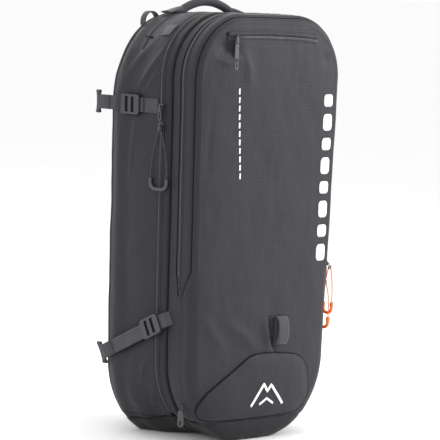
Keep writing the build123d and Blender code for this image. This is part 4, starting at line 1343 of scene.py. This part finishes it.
def nurbs_cord(name, points, diameter, look, body, stands_for):
    """A cord as one open NURBS curve through control points."""
    data = bpy.data.curves.new(name, "CURVE")
    data.dimensions = "3D"
    data.bevel_depth = diameter / 2
    data.bevel_resolution = 4
    data.resolution_u = 12
    spline = data.splines.new("NURBS")
    spline.points.add(len(points) - 1)
    for target, p in zip(spline.points, points):
        target.co = (*p, 1)
    spline.order_u = 3
    spline.use_endpoint_u = True
    curve = bpy.data.objects.new(name, data)
    bpy.context.scene.collection.objects.link(curve)
    return place(curve, body, look, stands_for=stands_for)


def loop_route(axes, half_loop):
    origin, forward, up, _ = axes
    flat = list(half_loop) + [(-x, y) for x, y in reversed(half_loop)]
    return [origin + forward * x + up * y for x, y in flat]


MAIN_LOOP = ((-0.016, -0.071), (-0.0152, -0.052), (-0.012, -0.034), (-0.0076, -0.019), (-0.0044, -0.0095),
             (-0.0029, -0.004), (-0.0025, 0.0002))
main_axes = side_axes(MAIN_ZIP_Y, 0.440, SLIDER_LIFT + PIN_LIFT, -1)
main_route = loop_route(main_axes, MAIN_LOOP)
main_cord = nurbs_cord("main_pull_line", main_route, CORD_D, "cord_dark", "main_pull", ("main_pull_cord",))

LINK_END, DROP = 0.0254, 0.060
for which, z, lean, half in (("upper", 0.258, 22, 0.008), ("lower", 0.240, 0, 0.010)):
    body_name = f"tool_pull_{which}"
    origin, forward, up, out = side_axes(TOOL_ZIP_Y, z, SLIDER_LIFT + PIN_LIFT, 1)
    tilt = math.radians(lean)
    down = (-(up * math.cos(tilt)) + out * (math.sin(tilt) + 0.14) + forward * 0.32).normalized()
    eye = origin + down * LINK_END
    loop = ((-half, 0.009 - DROP), (-half * 0.97, -0.037), (-half * 0.84, -0.024), (-half * 0.66, -0.014),
            (-0.0038, -0.0074), (-0.0028, -0.0034), (-0.0024, 0.0002))
    # the loop hangs straight down from the eye of its link
    route = loop_route((eye, forward, up, out), loop)
    line = nurbs_cord(f"{body_name}_line", route, CORD_D, "cord_orange", body_name,
                      (f"tool_pull_cord_{which}",))
    link_parts = []
    ring = [origin + down * (0.0020 + 0.0052 - 0.0052 * math.cos(a)) + forward * (0.0034 * math.sin(a))
            for a in [2 * math.pi * k / 24 for k in range(24)]]
    link_parts.append(tube("ring", ring, 0.0011, 8, closed=True))
    link_parts.append(tube("stem", [origin + down * d for d in span(0.0118, 0.0212, 0.001)],
                           [0.0019 + 0.0004 * math.sin(k) for k in range(10)], 10))
    end_ring = [eye + down * (0.0003 * math.cos(a)) + up * (0.0026 * math.cos(a))
                + out * (0.0026 * math.sin(a))
                for a in [2 * math.pi * k / 20 for k in range(20)]]
    link_parts.append(tube("end_ring", end_ring, 0.0009, 8, closed=True))
    link = place(join(f"{body_name}_link", link_parts), body_name, "zip_metal", "pull_plastic")
    legs = [(-half, 0.009 - DROP), (-half, -DROP + 0.002), (-half * 0.92, -DROP - 0.003),
            (-half * 0.55, -DROP - 0.006), (0, -DROP - 0.0068), (half * 0.55, -DROP - 0.006),
            (half * 0.92, -DROP - 0.003), (half, -DROP + 0.002), (half, 0.009 - DROP)]
    grip_path = [eye + forward * x + up * y for x, y in legs]
    fine = []
    for a, b in zip(grip_path, grip_path[1:]):
        fine += [a.lerp(b, k / 4) for k in range(4)]
    fine.append(grip_path[-1])
    count = len(fine)
    radii = [0.0023 if 3 < i < count - 4 else 0.0028 for i in range(count)]
    grip = place(tube(f"{body_name}_grip", fine, radii, 14), body_name, "pull_orange")
    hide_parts(body_name)

# ---- padded pieces: cloth simulation ---------------------------------------
def linked_groups(bm):
    """The vertex indices of each separate shell of a bmesh."""
    bm.verts.ensure_lookup_table()
    left, groups = set(range(len(bm.verts))), []
    while left:
        stack, group = [left.pop()], set()
        while stack:
            index = stack.pop()
            group.add(index)
            for edge in bm.verts[index].link_edges:
                other = edge.other_vert(bm.verts[index]).index
                if other in left:
                    left.discard(other)
                    stack.append(other)
        groups.append(group)
    return groups


def islands(node):
    """The separate closed shells of a CAD node, as new meshes, largest first."""
    bm = bmesh.new()
    bm.from_mesh(NODES[node].data)
    bmesh.ops.remove_doubles(bm, verts=bm.verts, dist=1e-6)
    found = []
    for group in linked_groups(bm):
        order = {index: k for k, index in enumerate(sorted(group))}
        faces = [[order[v.index] for v in f.verts] for f in bm.faces if f.verts[0].index in group]
        mesh = bpy.data.meshes.new(node + "_shell")
        mesh.from_pydata([tuple(bm.verts[index].co) for index in sorted(group)], [], faces)
        found.append(mesh)
    bm.free()
    return sorted(found, key=lambda m: -Vector(obj_size(m)).length)


def obj_size(mesh):
    return [max(v.co[k] for v in mesh.vertices) - min(v.co[k] for v in mesh.vertices) for k in range(3)]


def largest_only(obj):
    """Drops the crumbs that the remesh leaves."""
    bm = bmesh.new()
    bm.from_mesh(obj.data)
    best = max(linked_groups(bm), key=len)
    bmesh.ops.delete(bm, geom=[v for v in bm.verts if v.index not in best], context="VERTS")
    bm.to_mesh(obj.data)
    bm.free()


def cloth_pad(mesh, name, voxel=0.005, cap=0.005, shrink=0.0016, shape=None):
    """Foam in cloth: remeshed, swollen by a capped cloth simulation, then shaped and smoothed."""
    obj = new_object(name, mesh)
    apply_modifier(obj, "REMESH", mode="VOXEL", voxel_size=voxel)
    largest_only(obj)
    obj.data.update()
    normals = [v.normal.copy() for v in obj.data.vertices]
    for v, n in zip(obj.data.vertices, normals):
        v.co -= n * shrink
    before = [v.co.copy() for v in obj.data.vertices]
    cloth = obj.modifiers.new("cloth", "CLOTH")
    cloth.settings.use_pressure = True
    cloth.settings.uniform_pressure_force = 4.0
    cloth.settings.effector_weights.gravity = 0.0
    cloth.point_cache.frame_start, cloth.point_cache.frame_end = 1, 20
    scene = bpy.context.scene
    for number in range(1, 21):
        scene.frame_set(number)
    graph = bpy.context.evaluated_depsgraph_get()
    swollen = obj.evaluated_get(graph).to_mesh()
    after = [v.co.copy() for v in swollen.vertices]
    obj.evaluated_get(graph).to_mesh_clear()
    obj.modifiers.remove(cloth)
    scene.frame_set(1)
    for v, a, b in zip(obj.data.vertices, before, after):
        move = b - a
        if move.length > cap:
            move = move.normalized() * cap
        v.co = a + move
    apply_modifier(obj, "SMOOTH", factor=0.5, iterations=3)
    apply_modifier(obj, "SUBSURF", levels=1, render_levels=1)
    if shape:
        for v in obj.data.vertices:
            v.co = shape(v.co)
    obj.data.update()
    return obj


def back_channels(p):
    """Air channels pressed into the wearer's side of the back panel."""
    if p.y < -0.006:
        return p
    deep = 0.0055 * bell(p.x / 0.016)
    for z in (0.165, 0.245, 0.325, 0.405):
        rise = z + 0.030 * (abs(p.x) / 0.11)
        deep = max(deep, 0.0038 * bell((p.z - rise) / 0.0055) * smooth((abs(p.x) - 0.012) / 0.01))
    return Vector((p.x, p.y - deep, p.z))


back_shells = islands("back_padding")
panel = cloth_pad(back_shells[0], "back_panel_pad", 0.0055, 0.0035, 0.0014, back_channels)
place(panel, "bag", "padding_foam", stands_for=("back_padding",))
lumbar = pillow("lumbar_pad", (-0.070, -0.0015, 0.064), (0.070, 0.0085, 0.156), "bag", "padding_foam")
pillow("harness_yoke", (-0.076, -0.0010, 0.489), (0.076, 0.0045, 0.523), "bag", "side_fabric")
rim_path = [ring_point(s, 0.0285, -0.0035) for s in RING[::3]]
place(tube("back_panel_binding", rim_path, 0.0024, 10, closed=True), "bag", "piping", "webbing")
for z_line in (0.4965, 0.5155):
    path = [(Vector((x, 0.0052, z_line)), Vector((0, 1, 0))) for x in span(-0.070, 0.070, 0.002)]
    stitches(f"yoke_stitches_{int(z_line * 1e4)}", path, "bag")

pack = cloth_pad(islands("airbag_pack")[0], "folded_airbag", 0.006, 0.003, 0.0015)
for v in pack.data.vertices:
    v.co.y += 0.0012 * math.sin(v.co.z * 520 + 3 * math.sin(v.co.x * 30)) * smooth((-0.060 - v.co.y) / 0.01)
place(pack, "bag", "airbag_cloth", stands_for=("airbag_pack",))


def divider(name, node, body, wave=0.0006):
    """A sewn inner sheet: the CAD sheet's outline with a soft wave."""
    mesh = NODES[node].data.copy()
    obj = new_object(name, mesh)
    apply_modifier(obj, "REMESH", mode="VOXEL", voxel_size=0.0034)
    for v in obj.data.vertices:
        v.co.y += wave * noise.noise(Vector((v.co.x * 16, 0.0, v.co.z * 16)))
    apply_modifier(obj, "SMOOTH", factor=0.5, iterations=2)
    return place(obj, body, "lining_fabric", stands_for=(node,))


divider("cover_lining", "cover_divider", "front_cover")
divider("airbag_divider", "system_divider", "bag")

# ---- harness ---------------------------------------------------------------
STRAP_X = (-0.072, -0.018)
EDGE_LINE = [(0.003, 0.4800), (0.018, 0.4660), (0.033, 0.4530), (0.0395, 0.4400), (0.0400, 0.4100),
             (0.0400, 0.3700), (0.0400, 0.3300), (0.0395, 0.3020), (0.0340, 0.2830), (0.0235, 0.2590)]


def smooth_path(points, steps=8):
    """A quadratic B-spline near a list of points, open at its ends."""
    out = [Vector(points[0])]
    for i in range(1, len(points) - 1):
        a, b, c = (Vector(points[j]) for j in (i - 1, i, i + 1))
        start = a if i == 1 else (a + b) / 2
        end = c if i == len(points) - 2 else (b + c) / 2
        out += [(1 - t) ** 2 * start + 2 * t * (1 - t) * b + t * t * end
                for t in [k / steps for k in range(1, steps + 1)]]
    return out


def mirrored(obj, name):
    """The same piece on the other side."""
    twin = copy_of(obj, name)
    for v in twin.data.vertices:
        v.co.x = -v.co.x
    twin.data.flip_normals()
    return twin


strap_pad = cloth_pad(islands("left_shoulder_strap")[0], "left_shoulder_pad", 0.0045, 0.0030, 0.0014)
right_pad = mirrored(strap_pad, "right_shoulder_pad")
for word, obj in (("left", strap_pad), ("right", right_pad)):
    place(obj, f"{word}_shoulder_strap", "padding_foam", stands_for=(f"{word}_shoulder_strap",))
for side in (-1, 1):
    word = side_word(side)
    body_name = f"{word}_shoulder_strap"
    for k, x in enumerate(STRAP_X):
        path = smooth_path([(-side * x, y, z) for y, z in EDGE_LINE])
        place(tube(f"{word}_strap_binding_{k}", path, 0.0046, 10, 0.62), body_name, "piping", "webbing")
    x_mid = side * 0.045
    face = smooth_path([(x_mid, 0.0470, 0.452), (x_mid, 0.0472, 0.430), (x_mid, 0.0472, 0.400),
                        (x_mid, 0.0472, 0.378)])
    strip(f"{word}_daisy_webbing", [(p, Vector((0, 1, 0))) for p in face], 0.020, body_name, "webbing")
    tail = smooth_path([(x_mid, 0.0235, 0.263), (x_mid, 0.0225, 0.256), (x_mid, 0.0165, 0.214),
                        (x_mid, 0.0110, 0.1725)])
    strip(f"{word}_lower_webbing", [(p, Vector((0, 1, 0.1))) for p in tail], 0.020, body_name, "webbing")
    lock = [rounded_box("bar", (x_mid, 0.0235 + dy, z), (0.026, 0.0040, 0.0042), 0.0014, 3)
            for dy, z in ((0.0020, 0.2600), (0.0010, 0.2525), (0.0, 0.2450))]
    lock += [rounded_box("rail", (x_mid + dx, 0.0243, 0.2525), (0.0036, 0.0046, 0.0205), 0.0014, 3)
             for dx in (-0.0122, 0.0122)]
    place(join(f"{word}_strap_adjuster", lock), body_name, "buckle_plastic")

for side in (-1, 1):
    word = side_word(side)
    node = f"{word}_hip_belt"
    shells = islands(node)
    wing = max(shells, key=lambda m: abs(sum(v.co.x for v in m.vertices) / len(m.vertices)))
    pad = cloth_pad(wing, f"{word}_hip_pad", 0.0045, 0.0025, 0.0012)
    place(pad, node, "padding_foam", stands_for=(node,))
    buckle = join(f"{word}_hip_buckle", [new_object("shell", m) for m in shells if m is not wing])
    place(buckle, node, "buckle_plastic")
    for poly in buckle.data.polygons:
        poly.use_smooth = False

SLEEVE_X, SLEEVE_Y = -0.052, 0.0524
rows = []
for z in span(0.320, 0.372, 0.002):
    t = (z - 0.320) / 0.052
    w, d = 0.0134 + 0.0008 * math.sin(math.pi * t), 0.0056 + 0.0005 * math.sin(math.pi * t)
    row = []
    for k in range(33):
        a = 2 * math.pi * k / 32
        c, s = math.cos(a), math.sin(a)
        r = (abs(c) ** 5 + abs(s) ** 5) ** (-1 / 5)
        row.append(Vector((SLEEVE_X + w * r * c, SLEEVE_Y + d * r * s, z)))
    rows.append(row)
sleeve = band("trigger_sleeve_cloth", rows)
thicken(sleeve, 0.0012, 0)
place(sleeve, "left_shoulder_strap", "webbing", stands_for=("trigger_sleeve",))
